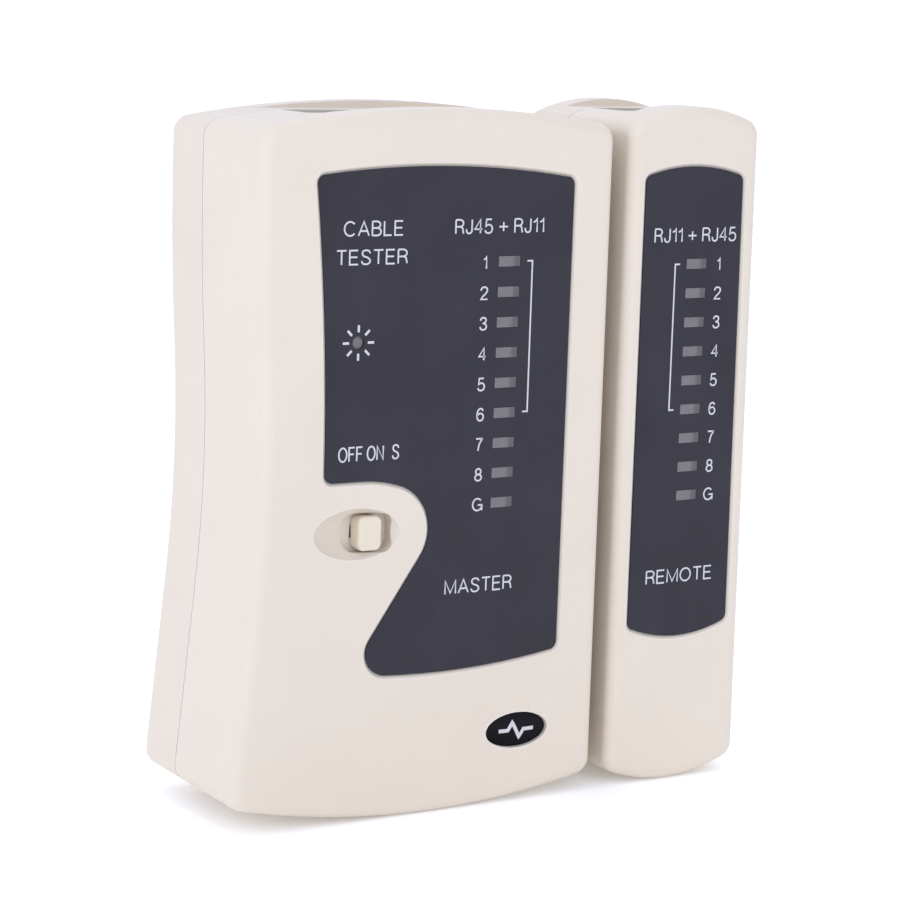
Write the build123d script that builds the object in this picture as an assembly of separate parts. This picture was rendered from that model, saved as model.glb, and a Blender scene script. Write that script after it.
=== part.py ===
"""Network cable tester: a master unit and a remote unit that slides onto it.

Row frame, millimetres: +X right, +Y to the back, +Z up, front faces towards -Y.
The origin is the middle of the bounding box's underside, with the tester standing upright.
"""
import os
from math import asin, degrees, sqrt

from build123d import *

# ---- Case: driving dimensions -------------------------------------------------------
DEPTH = 30.0
FRONT_Y = -DEPTH / 2
BACK_Y = DEPTH / 2
WALL = 1.8
INSIDE_FRONT_Y = FRONT_Y + WALL
INSIDE_BACK_Y = BACK_Y - WALL
PARTING_Y = 3.5                 # plane where the front and rear shells meet
FRONT_ROUND = 1.7               # radius round the front face
REAR_ROUND = 2.0                # radius round the rear face
CORNER_ROUND = 2.6              # radius of the outline's four corners
SEAM_WIDTH = 0.3                # shadow groove along the parting line
SEAM_DEPTH = 0.2
LIP_HEIGHT = 1.5                # rear shell's locating lip
LIP_GAP = 0.1

MASTER_RIGHT = 17.0
MASTER_CROWN_X = -10.7
MASTER_TOP = 102.5
MASTER_TOP_RADIUS = 165.0
MASTER_BOTTOM_RADIUS = 130.0
MASTER_LEFT_TOP = -40.75
MASTER_UPPER_LEFT = (-40.2, 68.0)   # where the waist's hollow turns into the upper bulge
MASTER_LOWER_LEFT = (-41.0, 33.0)   # where the straight flare turns into the waist's hollow
MASTER_FOOT = -43.95

REMOTE_LEFT = 19.8
REMOTE_RIGHT_TOP = 43.2
REMOTE_RIGHT_BOTTOM = 43.75
REMOTE_CROWN_X = 31.6
REMOTE_TOP = 103.0
REMOTE_END_RADIUS = 27.0

# ---- Front labels, windows and badge -------------------------------------------------
LABEL_THICKNESS = 0.3
RECESS_FLOOR_Y = FRONT_Y + 0.5
LABEL_FACE_Y = RECESS_FLOOR_Y - LABEL_THICKNESS
LABEL_GAP = 0.1
LABEL_CORNER = 1.2
BEVEL_ANGLE = 40.0
BEVEL_SPREAD = 0.8              # how far the bevel widens the recess, for each unit of its depth

MASTER_LABEL_LEFT = -32.2
MASTER_LABEL_BAY_LEFT = -30.0
MASTER_LABEL_MIDDLE = (-30.55, 73.0)    # a point on the slightly bowed left edge
MASTER_LABEL_RIGHT_TOP = (10.0, 92.7)
MASTER_LABEL_RIGHT_LOW = (9.8, 22.9)
MASTER_LABEL_TOP_CROWN = (-10.7, 94.5)
MASTER_LABEL_LOW_CROWN = (-5.7, 21.3)
MASTER_LABEL_LEFT_TOP_Z = 93.3
NOSE_CENTER = (-19.75, 42.45)   # the shell's rounded nose that reaches into the label
NOSE_RADIUS = 6.9
NOSE_BROW = (-24.1, 50.1)       # where the nose's upper edge starts to fall
LOBE_CENTER = (-19.3, 24.9)     # the label's rounded lower left corner
LOBE_RADIUS = 3.4

REMOTE_LABEL_LEFT = 22.7
REMOTE_LABEL_RIGHT_TOP = 40.3
REMOTE_LABEL_RIGHT_LOW = 40.9
REMOTE_LABEL_TOP = (92.7, 94.2)         # height at the corners and at the crown
REMOTE_LABEL_LOW = (24.6, 22.7)

LED_COUNT = 9
LED_PITCH = 4.4
LED_WIDTH = 3.6
LED_HEIGHT = 1.5
LED_WINDOW_GAP = 0.1
LED_LEG_SPACING = 2.54
LED_LEG_REACH = 0.6             # how far the legs stand through the board
MASTER_LED_X = -0.7
MASTER_LED_TOP_Z = 80.8
REMOTE_LED_X = 32.4
REMOTE_LED_TOP_Z = 79.65
POWER_LED = (-25.2, 69.9)
POWER_LED_RADIUS = 1.5
POWER_WINDOW_RADIUS = 0.95
POWER_LED_FLANGE = 0.35
POWER_LED_LEG_SPACING = 2.0

BADGE_CENTER = (3.25, 11.0)
BADGE_SIZE = (10.5, 5.2)
BADGE_DEPTH = 0.6
BADGE_GAP = 0.1
BADGE_ROUND = 0.35

# ---- Switch --------------------------------------------------------------------------
KNOB_CENTER = (-22.5, 42.5)
KNOB_SIZE = (3.8, 5.0)
KNOB_CORNER = 1.0
KNOB_ROUND = 0.5
KNOB_TRAVEL = 1.5
SCOOP_CENTER = (-24.7, 42.6)
SCOOP_SIZE = (14.0, 7.5)        # the finger dish's rim
SCOOP_DEPTH = 2.6
SCOOP_LIFT = 2.5                # how far in front of the face the dish's ellipsoid is centred
WELL_GAP = 0.35                 # clearance round the knob over its travel
WELL_SIZE = (KNOB_SIZE[0] + 2 * (KNOB_TRAVEL + WELL_GAP), KNOB_SIZE[1] + 2 * WELL_GAP)
WELL_CORNER = 1.8
WELL_FLOOR_Y = FRONT_Y + 2.7
WELL_THICKNESS = 1.0
STEM_SIZE = (0.8, 1.6)
STEM_GAP = 0.12
STEM_GRIP = 1.4                 # how far the knob's socket goes over the stem
SWITCH_SIZE = (11.0, 5.6)
SWITCH_FRONT_Y = WELL_FLOOR_Y + WELL_THICKNESS + 0.2
SWITCH_SHEET = 0.3
SWITCH_BASE_THICKNESS = 0.8
SLED_SIZE = (7.2, 4.2)
TERMINAL_SHIFTS = (-3, -1, 1, 3)
TERMINAL_SIZE = (1.0, 0.7)

# ---- Boards --------------------------------------------------------------------------
BOARD_FRONT_Y = -8.0
BOARD_THICKNESS = 1.6
BOARD_BACK_Y = BOARD_FRONT_Y + BOARD_THICKNESS
MASTER_BOARD = (-32.5, 37.5, 8.5, 98.0)
REMOTE_BOARD = (22.3, 4.5, 41.0, 98.5)
MASTER_BOARD_SCREWS = [(-29.5, 80.0), (5.4, 81.5), (6.2, 41.0)]
REMOTE_BOARD_SCREWS = [(38.2, 80.5), (25.2, 20.5)]
MASTER_CASE_SCREWS = [(-35.6, 92.0), (11.9, 92.0), (-37.0, 10.0), (11.5, 22.0)]
REMOTE_CASE_SCREWS = [(25.2, 80.5), (38.2, 20.5)]
BOSS_RADIUS = 2.7
BOSS_MEET_Y = PARTING_Y - 1.8

BOARD_CORNER = 1.0
BOARD_SCREW_GAP = 0.15
BOARD_POST_GAP = 0.4
LEG_HOLE_RADIUS = 0.3

WIRE_RADIUS = 0.25
LEG_RADIUS = 0.2
CHIP_PLACES = [(-12.5, 73.0), (-12.5, 54.0)]
CHIP_SIZE = (6.4, 3.2, 19.2)    # width, thickness, length
CHIP_STAND_OFF = 0.4
CHIP_PIN_ROWS = 8
CHIP_PIN_PITCH = 2.1
CHIP_PIN_WIDTH = 0.6
CHIP_PIN_DROP = 1.8
CHIP_PIN_REACH = 0.7
AXIAL_STAND_OFF = 1.3
RESISTOR = {"radius": 0.9, "length": 2.8, "span": 4.2}
DIODE = {"radius": 0.95, "length": 4.0, "span": 7.6}
DIODE_COUNT = 8
DIODE_LOW_Z = 24.5
DIODE_X = 33.0
MASTER_RESISTOR_X = -5.6
REMOTE_RESISTOR_X = 26.6
CAPACITOR_PLACES = [(-27.5, 60.5), (-27.5, 54.5)]
CAPACITOR_RADIUS = 2.1
CAPACITOR_LENGTH = 7.0
CAPACITOR_AXIS_Y = BOARD_FRONT_Y - 2.2
CAPACITOR_LEG_SHIFT = 0.8

# ---- Jacks ---------------------------------------------------------------------------
# width, height off the board, depth along the plug, plug opening width and height, contacts
RJ45 = {"width": 15.2, "height": 13.2, "depth": 15.0, "mouth": (11.9, 8.2), "contacts": 8}
RJ11 = {"width": 13.2, "height": 11.6, "depth": 14.0, "mouth": (9.9, 7.4), "contacts": 6}
JACK_BOARD_GAP = 0.05
JACK_MOUTH_Y = 0.6
JACK_CAVITY_DEPTH = 12.0
LATCH_WIDTH = 6.2
LATCH_HEIGHT = 1.8
CONTACT_RADIUS = 0.23
CONTACT_PITCH = 1.02
CONTACT_BEND_RADIUS = 1.2
CONTACT_START, CONTACT_BEND, CONTACT_END = 1.2, 3.0, 9.5    # distances below the mouth
CONTACT_ROOT_DEPTH = 0.3        # how far the straight ends lie behind the plug opening
CONTACT_TIP_DEPTH = 1.2         # how far the tips lie behind the opening's middle
COMB_DEPTH = 0.7
PORT_RECESS_FLOOR = 1.2         # how far the ports' flat floor lies below the crown
PORT_PLATE = 1.6                # thickness of that floor
PORT_RECESS_Y = (-8.4, 9.4)
PORT_RECESS_CORNER = 1.5
PORT_WINDOW_GAP = 0.2           # how much wider the floor's windows are than the plug openings
MOUTH_BELOW_CROWN = PORT_RECESS_FLOOR + PORT_PLATE + 0.05
MASTER_PORT_X = (-33.0, 11.0)
REMOTE_TOP_PORT_X = (23.0, 40.4)
REMOTE_LOW_PORT_X = (24.6, 39.4)
PORT_PLATE_MARGIN = 1.0
MASTER_RJ45_X = -22.0
MASTER_RJ11_X = -0.5
REMOTE_JACK_X = 31.8

# ---- Battery bay and door ------------------------------------------------------------
BATTERY_SIZE = (26.4, 17.4, 46.4)
BATTERY_X = -11.0
BATTERY_BOTTOM_Z = 4.8
BATTERY_FRONT_Y = -4.4
BATTERY_TOP_Z = BATTERY_BOTTOM_Z + BATTERY_SIZE[2]
BATTERY_MIDDLE_Y = BATTERY_FRONT_Y + BATTERY_SIZE[1] / 2
SNAP_TOP_Z = BATTERY_TOP_Z + 5.2
BAY_WALL = 1.2
BAY_GAP = 0.4
BAY_FLOOR_Y = -5.3
BAY_TOP_Z = 60.5
DOOR_GAP = 0.25
DOOR_TOP_Z = 57.5
DOOR_HALF_WIDTH = 14.6
DOOR_INSIDE_Y = 13.4
TONGUE_REACH = 1.3
TONGUE_THICKNESS = 1.1
TONGUE_GAP = 0.3
LEAD_RADIUS = 0.65
LEAD_TURN_RADIUS = 4.5
LEAD_TOP_Z = 70.0
LEAD_Y = 5.5
LEAD_SHIFT = 3.0
LEAD_NOTCH = (12.0, 3.0)
BATTERY_CORNER = 1.8
STUD_SHIFT = 6.35
STUD_HEIGHT = 2.6
POSITIVE_STUD_RADIUS = 2.8
NEGATIVE_STUD_RADIUS = 3.6
NEGATIVE_STUD_BORE = 2.8
SNAP_SIZE = (25.2, 12.4, 5.1)
SNAP_CORNER = 3.0
SNAP_GAP = 0.1
FOAM_MARGIN = 1.0
FOAM_THICKNESS = 2.1
DOOR_SKIRT = 2.0                # how far the door's panel reaches past its tongues
DOOR_RIM = 1.2
DOOR_EDGE_GAP = 0.3
RIDGE_COUNT = 5
RIDGE_PITCH = 2.0
RIDGE_SIZE = (14.0, 1.0, 0.4)   # width, height and depth of one finger groove
RIDGE_DROP = 6.0                # from the door's top edge to the first groove

# ---- Sliding dock --------------------------------------------------------------------
RAIL_Y = 8.0
RAIL_NECK = 3.0
RAIL_HEAD = 5.6
RAIL_HEAD_THICKNESS = 1.6
RAIL_Z = (20.0, 70.0)
SLIDE_GAP = 0.3
GROOVE_WALL = 1.2

# ---- Screws --------------------------------------------------------------------------
SCREW_RADIUS = 1.0
PILOT_RADIUS = 1.04
SCREW_HEAD_RADIUS = 2.0
CASE_SCREW_HEAD_Y = 9.0
CASE_SCREW_TIP_Y = -5.0
BOARD_SCREW_TIP_Y = -12.0
HEAD_HEIGHT = 1.4
HEAD_ROUND = 0.5
HEAD_GAP = 0.15
CROSS_SLOT = (2.2, 0.45)
CROSS_DEPTH = 0.7
TIP_ROOM = 0.5                  # how much deeper the pilot holes are than the screws

FAR = 200.0                     # longer than the whole object, for cutting boxes


# ---- Drawing helpers -----------------------------------------------------------------
def slab(face, y_from, y_to):
    """Extrude a face drawn in X and Z from one depth to another."""
    return extrude(Plane.XZ.offset(-y_from) * face, amount=y_from - y_to)


def block(x_range, y_range, z_range):
    """A box between two corners."""
    size = [high - low for low, high in (x_range, y_range, z_range)]
    return Pos(x_range[0], y_range[0], z_range[0]) * Box(*size, align=(Align.MIN,) * 3)


def rod_y(x, z, radius, y_from, y_to):
    """A round rod that runs front to back."""
    return slab(Pos(x, z) * Circle(radius), y_from, y_to)


def rod_x(x_from, x_to, y, z, radius):
    """A round rod that runs left to right."""
    return Pos(x_from, y, z) * Rot(0, 90, 0) * Cylinder(
        radius, x_to - x_from, align=(Align.CENTER, Align.CENTER, Align.MIN)
    )


def arch_drop(x, crown_x, radius):
    """How far a round arch has fallen at x from its crown."""
    return radius - sqrt(radius ** 2 - (x - crown_x) ** 2)


def led_heights(top_z):
    """The heights of one unit's column of indicators, from the top down."""
    return [top_z - LED_PITCH * index for index in range(LED_COUNT)]


# ---- Outlines ------------------------------------------------------------------------
def round_corners(face, corners, radius):
    """Round only the named corners of a flat outline."""
    sharp = [face.vertices().sort_by_distance(Vertex(*corner, 0))[0] for corner in corners]
    return fillet(sharp, radius)


def top_point(x, crown_x, radius, top):
    """A point on a case's arched upper end."""
    return (x, top - arch_drop(x, crown_x, radius))


def low_point(x, crown_x, radius):
    """A point on a case's arched lower end, whose crown is at height 0."""
    return (x, arch_drop(x, crown_x, radius))


def master_outline():
    """The wide unit: a waisted left side, a straight right side and two arched ends."""
    top_left = top_point(MASTER_LEFT_TOP, MASTER_CROWN_X, MASTER_TOP_RADIUS, MASTER_TOP)
    top_right = top_point(MASTER_RIGHT, MASTER_CROWN_X, MASTER_TOP_RADIUS, MASTER_TOP)
    low_right = low_point(MASTER_RIGHT, MASTER_CROWN_X, MASTER_BOTTOM_RADIUS)
    low_left = low_point(MASTER_FOOT, MASTER_CROWN_X, MASTER_BOTTOM_RADIUS)
    flare = Line(low_left, MASTER_LOWER_LEFT)
    waist = TangentArc(MASTER_LOWER_LEFT, MASTER_UPPER_LEFT, tangent=flare % 1)
    edges = [
        ThreePointArc(top_left, (MASTER_CROWN_X, MASTER_TOP), top_right),
        Line(top_right, low_right),
        ThreePointArc(low_right, (MASTER_CROWN_X, 0), low_left),
        flare,
        waist,
        TangentArc(MASTER_UPPER_LEFT, top_left, tangent=waist % 1),
    ]
    corners = (top_left, top_right, low_right, low_left)
    return round_corners(make_face(edges), corners, CORNER_ROUND)


def remote_outline():
    """The narrow unit: nearly straight sides and two strongly arched ends."""
    top_left = top_point(REMOTE_LEFT, REMOTE_CROWN_X, REMOTE_END_RADIUS, REMOTE_TOP)
    top_right = top_point(REMOTE_RIGHT_TOP, REMOTE_CROWN_X, REMOTE_END_RADIUS, REMOTE_TOP)
    low_right = low_point(REMOTE_RIGHT_BOTTOM, REMOTE_CROWN_X, REMOTE_END_RADIUS)
    low_left = low_point(REMOTE_LEFT, REMOTE_CROWN_X, REMOTE_END_RADIUS)
    edges = [
        ThreePointArc(top_left, (REMOTE_CROWN_X, REMOTE_TOP), top_right),
        Line(top_right, low_right),
        ThreePointArc(low_right, (REMOTE_CROWN_X, 0), low_left),
        Line(low_left, top_left),
    ]
    corners = (top_left, top_right, low_right, low_left)
    return round_corners(make_face(edges), corners, CORNER_ROUND)


def cross_tangent(center_a, radius_a, center_b, radius_b):
    """Where the line that crosses between two circles touches each of them."""
    across = Vector(*center_b) - Vector(*center_a)
    turn = degrees(asin((radius_a + radius_b) / across.length))
    along = across.normalized().rotate(Axis.Z, -turn)
    side = along.rotate(Axis.Z, 90)
    return Vector(*center_a) + side * radius_a, Vector(*center_b) - side * radius_b


def nose_brow_end():
    """Where the nose's long upper arc runs into its round end, both curves being tangent."""
    reach = NOSE_CENTER[0] - NOSE_BROW[0]
    rise = NOSE_BROW[1] - NOSE_CENTER[1]
    radius = (reach ** 2 + rise ** 2 - NOSE_RADIUS ** 2) / (2 * (rise - NOSE_RADIUS))
    brow_center = Vector(NOSE_BROW[0], NOSE_BROW[1] - radius)
    return Vector(*NOSE_CENTER) + (Vector(*NOSE_CENTER) - brow_center).normalized() * NOSE_RADIUS


def master_label_outline():
    """A panel with a rounded bay cut out of its lower left for the switch."""
    top_left = (MASTER_LABEL_LEFT, MASTER_LABEL_LEFT_TOP_Z)
    bay_corner = (MASTER_LABEL_BAY_LEFT, NOSE_BROW[1])
    lobe_low = (LOBE_CENTER[0], LOBE_CENTER[1] - LOBE_RADIUS)
    lobe_left = (LOBE_CENTER[0] - LOBE_RADIUS, LOBE_CENTER[1])
    nose_tip = (NOSE_CENTER[0] + NOSE_RADIUS, NOSE_CENTER[1])
    nose_end, lobe_start = cross_tangent(NOSE_CENTER, NOSE_RADIUS, LOBE_CENTER, LOBE_RADIUS)
    nose = ThreePointArc(nose_end, nose_tip, nose_brow_end())
    edges = [
        ThreePointArc(top_left, MASTER_LABEL_TOP_CROWN, MASTER_LABEL_RIGHT_TOP),
        Line(MASTER_LABEL_RIGHT_TOP, MASTER_LABEL_RIGHT_LOW),
        ThreePointArc(MASTER_LABEL_RIGHT_LOW, MASTER_LABEL_LOW_CROWN, lobe_low),
        ThreePointArc(lobe_low, lobe_left, lobe_start),
        Line(lobe_start, nose_end),
        nose,
        TangentArc(nose @ 1, NOSE_BROW, tangent=nose % 1),
        Line(NOSE_BROW, bay_corner),
        ThreePointArc(bay_corner, MASTER_LABEL_MIDDLE, top_left),
    ]
    corners = (top_left, MASTER_LABEL_RIGHT_TOP, MASTER_LABEL_RIGHT_LOW, bay_corner)
    return round_corners(make_face(edges), corners, LABEL_CORNER)


def remote_label_outline():
    """A tall panel with bowed ends."""
    top_corner, top_crown = REMOTE_LABEL_TOP
    low_corner, low_crown = REMOTE_LABEL_LOW
    middle = (REMOTE_LABEL_LEFT + REMOTE_LABEL_RIGHT_LOW) / 2
    top_left = (REMOTE_LABEL_LEFT, top_corner)
    top_right = (REMOTE_LABEL_RIGHT_TOP, top_corner)
    low_right = (REMOTE_LABEL_RIGHT_LOW, low_corner)
    low_left = (REMOTE_LABEL_LEFT, low_corner)
    edges = [
        ThreePointArc(top_left, (middle, top_crown), top_right),
        Line(top_right, low_right),
        ThreePointArc(low_right, (middle, low_crown), low_left),
        Line(low_left, top_left),
    ]
    return fillet(make_face(edges).vertices(), LABEL_CORNER)


# ---- Case shells ---------------------------------------------------------------------
def case_halves(outline):
    """Split one hollow rounded case into a front and a rear shell with a locating lip."""
    body = slab(outline, FRONT_Y, BACK_Y)
    body = fillet(body.faces().sort_by(Axis.Y)[0].edges(), FRONT_ROUND)
    body = fillet(body.faces().sort_by(Axis.Y)[-1].edges(), REAR_ROUND)
    inside = offset(outline, -WALL)
    body -= slab(inside, INSIDE_FRONT_Y, INSIDE_BACK_Y)
    seam = slab(outline, PARTING_Y - SEAM_WIDTH / 2, PARTING_Y + SEAM_WIDTH / 2)
    seam -= slab(offset(outline, -SEAM_DEPTH), PARTING_Y - SEAM_WIDTH, PARTING_Y + SEAM_WIDTH)
    body -= seam
    front = body & block((-FAR, FAR), (-FAR, PARTING_Y), (-FAR, FAR))
    rear = body & block((-FAR, FAR), (PARTING_Y, FAR), (-FAR, FAR))
    half_wall = offset(outline, -WALL / 2)
    front -= slab(half_wall, PARTING_Y - LIP_HEIGHT - LIP_GAP, PARTING_Y)
    lip = slab(offset(outline, -WALL / 2 - LIP_GAP), PARTING_Y - LIP_HEIGHT, PARTING_Y)
    lip -= slab(inside, PARTING_Y - LIP_HEIGHT - 1, PARTING_Y + 1)
    return front, rear + lip


def front_region(outline):
    """Where a front shell's inner features may reach, short of the rear shell's lip."""
    return slab(offset(outline, -WALL / 2), FRONT_Y, PARTING_Y - LIP_HEIGHT - LIP_GAP)


def rear_region(outline):
    """Where a rear shell's inner features may reach, up to the front shell's rebate."""
    return slab(offset(outline, -WALL / 2 - LIP_GAP), PARTING_Y - LIP_HEIGHT, BACK_Y)


def bosses(places, y_from, y_to):
    return [rod_y(x, z, BOSS_RADIUS, y_from, y_to) for x, z in places]


def holes(places, radius, y_from, y_to):
    return [rod_y(x, z, radius, y_from, y_to) for x, z in places]


def front_screw_posts(shell, case_screws, board_screws):
    """Posts inside a front shell: tall ones for the case screws, short ones for the board."""
    shell += bosses(case_screws, INSIDE_FRONT_Y, BOSS_MEET_Y)
    shell += bosses(board_screws, INSIDE_FRONT_Y, BOARD_FRONT_Y)
    shell -= holes(case_screws, PILOT_RADIUS, CASE_SCREW_TIP_Y - TIP_ROOM, BOSS_MEET_Y)
    shell -= holes(board_screws, PILOT_RADIUS, BOARD_SCREW_TIP_Y - TIP_ROOM, BOARD_FRONT_Y)
    return shell


def rear_screw_posts(shell, case_screws):
    """Posts inside a rear shell, with sunk holes for the screw heads."""
    shell += bosses(case_screws, BOSS_MEET_Y, INSIDE_BACK_Y)
    shell -= holes(case_screws, PILOT_RADIUS, BOSS_MEET_Y, BACK_Y)
    shell -= holes(case_screws, SCREW_HEAD_RADIUS + HEAD_GAP, CASE_SCREW_HEAD_Y, BACK_Y)
    return shell


def label_recess(outline):
    """A shallow pocket for a label, with a bevelled rim."""
    depth = RECESS_FLOOR_Y - FRONT_Y
    rim = Plane.XZ.offset(-FRONT_Y) * offset(outline, LABEL_GAP + depth * BEVEL_SPREAD)
    return extrude(rim, amount=-depth, taper=BEVEL_ANGLE)


def led_windows(x, top_z, gap):
    """Rectangular holes through the front for a column of indicators."""
    width = LED_WIDTH + 2 * gap
    height = LED_HEIGHT + 2 * gap
    return [
        slab(Pos(x, z) * Rectangle(width, height), FRONT_Y - 1, INSIDE_FRONT_Y + 1)
        for z in led_heights(top_z)
    ]


def switch_scoop():
    """The finger dish round the switch knob: the cap of an ellipsoid centred in front of the face."""
    radius_y = SCOOP_LIFT + SCOOP_DEPTH
    rim_share = sqrt(1 - (SCOOP_LIFT / radius_y) ** 2)
    radii = (SCOOP_SIZE[0] / 2 / rim_share, radius_y, SCOOP_SIZE[1] / 2 / rim_share)
    return Pos(SCOOP_CENTER[0], FRONT_Y - SCOOP_LIFT, SCOOP_CENTER[1]) * scale(Sphere(1), by=radii)


def stem_slot():
    """The slot that the switch's stem travels in."""
    return Rectangle(STEM_SIZE[0] + 2 * KNOB_TRAVEL + 2 * STEM_GAP, STEM_SIZE[1] + 2 * STEM_GAP)


def switch_well(shell):
    """The finger dish, the well that the knob runs in, and the thicker wall behind them."""
    place = Pos(*KNOB_CENTER)
    back_y = WELL_FLOOR_Y + WELL_THICKNESS
    bowl = Rectangle(WELL_SIZE[0] + 2 * WELL_THICKNESS, WELL_SIZE[1] + 2 * WELL_THICKNESS)
    shelf = Pos(*SCOOP_CENTER) * Ellipse(SCOOP_SIZE[0] / 2, SCOOP_SIZE[1] / 2)
    shell += slab(place * bowl, INSIDE_FRONT_Y, back_y)
    shell += slab(shelf, INSIDE_FRONT_Y, back_y)
    shell -= switch_scoop()
    shell -= slab(place * RectangleRounded(*WELL_SIZE, WELL_CORNER), FRONT_Y, WELL_FLOOR_Y)
    return shell - slab(place * stem_slot(), FRONT_Y, BOARD_FRONT_Y)


def badge_pocket():
    face = Pos(*BADGE_CENTER) * Ellipse(BADGE_SIZE[0] / 2 + BADGE_GAP, BADGE_SIZE[1] / 2 + BADGE_GAP)
    return slab(face, FRONT_Y, FRONT_Y + BADGE_DEPTH)


def master_front_shell(front, outline):
    """The master's face: the label's recess, lamp windows, switch dish and badge pocket."""
    front = switch_well(front)
    front = front_screw_posts(front, MASTER_CASE_SCREWS, MASTER_BOARD_SCREWS)
    front -= label_recess(master_label_outline())
    front -= led_windows(MASTER_LED_X, MASTER_LED_TOP_Z, LED_WINDOW_GAP)
    front -= rod_y(*POWER_LED, POWER_LED_RADIUS + HEAD_GAP, FRONT_Y, INSIDE_FRONT_Y + 1)
    front -= badge_pocket()
    return master_port_cuts(front, front_region(outline))


def master_port_cuts(shell, region):
    """Add the port floor that lies in one shell's own region, then cut the ports."""
    shell += port_plate(MASTER_PORT_X, MASTER_TOP) & region
    shell -= port_recess(MASTER_PORT_X, MASTER_TOP)
    shell -= plug_window(RJ45, MASTER_RJ45_X, MASTER_TOP)
    return shell - plug_window(RJ11, MASTER_RJ11_X, MASTER_TOP)


def port_recess(x_range, end_z, up=True):
    """The flat-floored pocket round the ports, cut into an arched end of a case."""
    if up:
        z_range = (end_z - PORT_RECESS_FLOOR, end_z + 1)
    else:
        z_range = (end_z - 1, end_z + PORT_RECESS_FLOOR)
    pocket = block(x_range, PORT_RECESS_Y, z_range)
    return fillet(pocket.edges().filter_by(Axis.Z), PORT_RECESS_CORNER)


def port_plate(x_range, end_z, up=True):
    """The wall behind the ports' flat floor, which fills in under the arch."""
    low = end_z - PORT_RECESS_FLOOR - PORT_PLATE if up else end_z + PORT_RECESS_FLOOR
    wide = (x_range[0] - PORT_PLATE_MARGIN, x_range[1] + PORT_PLATE_MARGIN)
    return block(wide, (INSIDE_FRONT_Y - 0.1, INSIDE_BACK_Y + 0.1), (low, low + PORT_PLATE))


def plug_opening(spec, x, z_range, gap):
    """The room for a plug and its latch, with the latch towards the front."""
    half_width = spec["mouth"][0] / 2 + gap
    half_height = spec["mouth"][1] / 2 + gap
    half_latch = LATCH_WIDTH / 2 + gap
    middle_y = jack_middle(spec)
    plug = block((x - half_width, x + half_width), (middle_y - half_height, middle_y + half_height), z_range)
    latch_y = (middle_y - half_height - LATCH_HEIGHT, middle_y)
    return plug + block((x - half_latch, x + half_latch), latch_y, z_range)


def plug_window(spec, x, end_z, up=True):
    """The window in a port's floor, in front of its jack."""
    inner_z = end_z - MOUTH_BELOW_CROWN - 1 if up else end_z + MOUTH_BELOW_CROWN + 1
    return plug_opening(spec, x, sorted((inner_z, end_z)), PORT_WINDOW_GAP)


def bay_walls():
    """The open box that holds the battery, moulded inside the master's rear shell."""
    half = BATTERY_SIZE[0] / 2 + BAY_GAP
    x_range = (BATTERY_X - half, BATTERY_X + half)
    outer = block(
        (x_range[0] - BAY_WALL, x_range[1] + BAY_WALL), (BAY_FLOOR_Y, INSIDE_BACK_Y), (WALL, BAY_TOP_Z)
    )
    inner = block(x_range, (BATTERY_FRONT_Y - 0.1, FAR), (-FAR, BAY_TOP_Z - BAY_WALL))
    lead_notch = block(
        (BATTERY_X - LEAD_NOTCH[0] / 2, BATTERY_X + LEAD_NOTCH[0] / 2),
        (LEAD_Y - LEAD_NOTCH[1] / 2, LEAD_Y + LEAD_NOTCH[1] / 2),
        (BAY_TOP_Z - 2 * BAY_WALL, BAY_TOP_Z + 1),
    )
    return outer - inner - lead_notch, inner


def door_panel(margin):
    """The space the battery door's outer panel takes, grown by a margin."""
    half = DOOR_HALF_WIDTH + margin
    return block(
        (BATTERY_X - half, BATTERY_X + half), (DOOR_INSIDE_Y - margin, FAR), (-FAR, DOOR_TOP_Z + margin)
    )


def door_tongues(margin):
    """The two long tongues that hold the door behind the shell's wall."""
    half = DOOR_HALF_WIDTH + TONGUE_REACH + margin
    y_high = INSIDE_BACK_Y - TONGUE_GAP
    return block(
        (BATTERY_X - half, BATTERY_X + half),
        (y_high - TONGUE_THICKNESS - margin, y_high + margin),
        (-FAR, DOOR_TOP_Z - DOOR_SKIRT + margin),
    )


def master_rear_shell(rear, outline):
    """The master's back: the battery bay, the door's opening and tracks, and the dock rail."""
    walls, bay = bay_walls()
    clear_of_front = slab(offset(outline, -WALL - 0.2), BAY_FLOOR_Y - 1, PARTING_Y)
    rear += walls & (clear_of_front + rear_region(outline))
    rear = rear_screw_posts(rear, MASTER_CASE_SCREWS)
    rear -= bay & block((-FAR, FAR), (BATTERY_FRONT_Y - 0.1, FAR), (WALL, BAY_TOP_Z - BAY_WALL - 2))
    rear -= door_panel(DOOR_GAP)
    rear -= door_tongues(TONGUE_GAP)
    rear += dock_rail()
    return master_port_cuts(rear, rear_region(outline))


def dock_rail():
    """The T rail on the master's right side that the remote slides onto."""
    head_x = REMOTE_LEFT + WALL + SLIDE_GAP
    neck = block((MASTER_RIGHT - WALL / 2, head_x), (RAIL_Y - RAIL_NECK / 2, RAIL_Y + RAIL_NECK / 2), RAIL_Z)
    head = block(
        (head_x, head_x + RAIL_HEAD_THICKNESS), (RAIL_Y - RAIL_HEAD / 2, RAIL_Y + RAIL_HEAD / 2), RAIL_Z
    )
    return neck + head


def remote_front_shell(front, outline):
    """The remote's face: the label's recess and lamp windows."""
    front = front_screw_posts(front, REMOTE_CASE_SCREWS, REMOTE_BOARD_SCREWS)
    front -= label_recess(remote_label_outline())
    front -= led_windows(REMOTE_LED_X, REMOTE_LED_TOP_Z, LED_WINDOW_GAP)
    return remote_port_cuts(front, front_region(outline))


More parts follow.
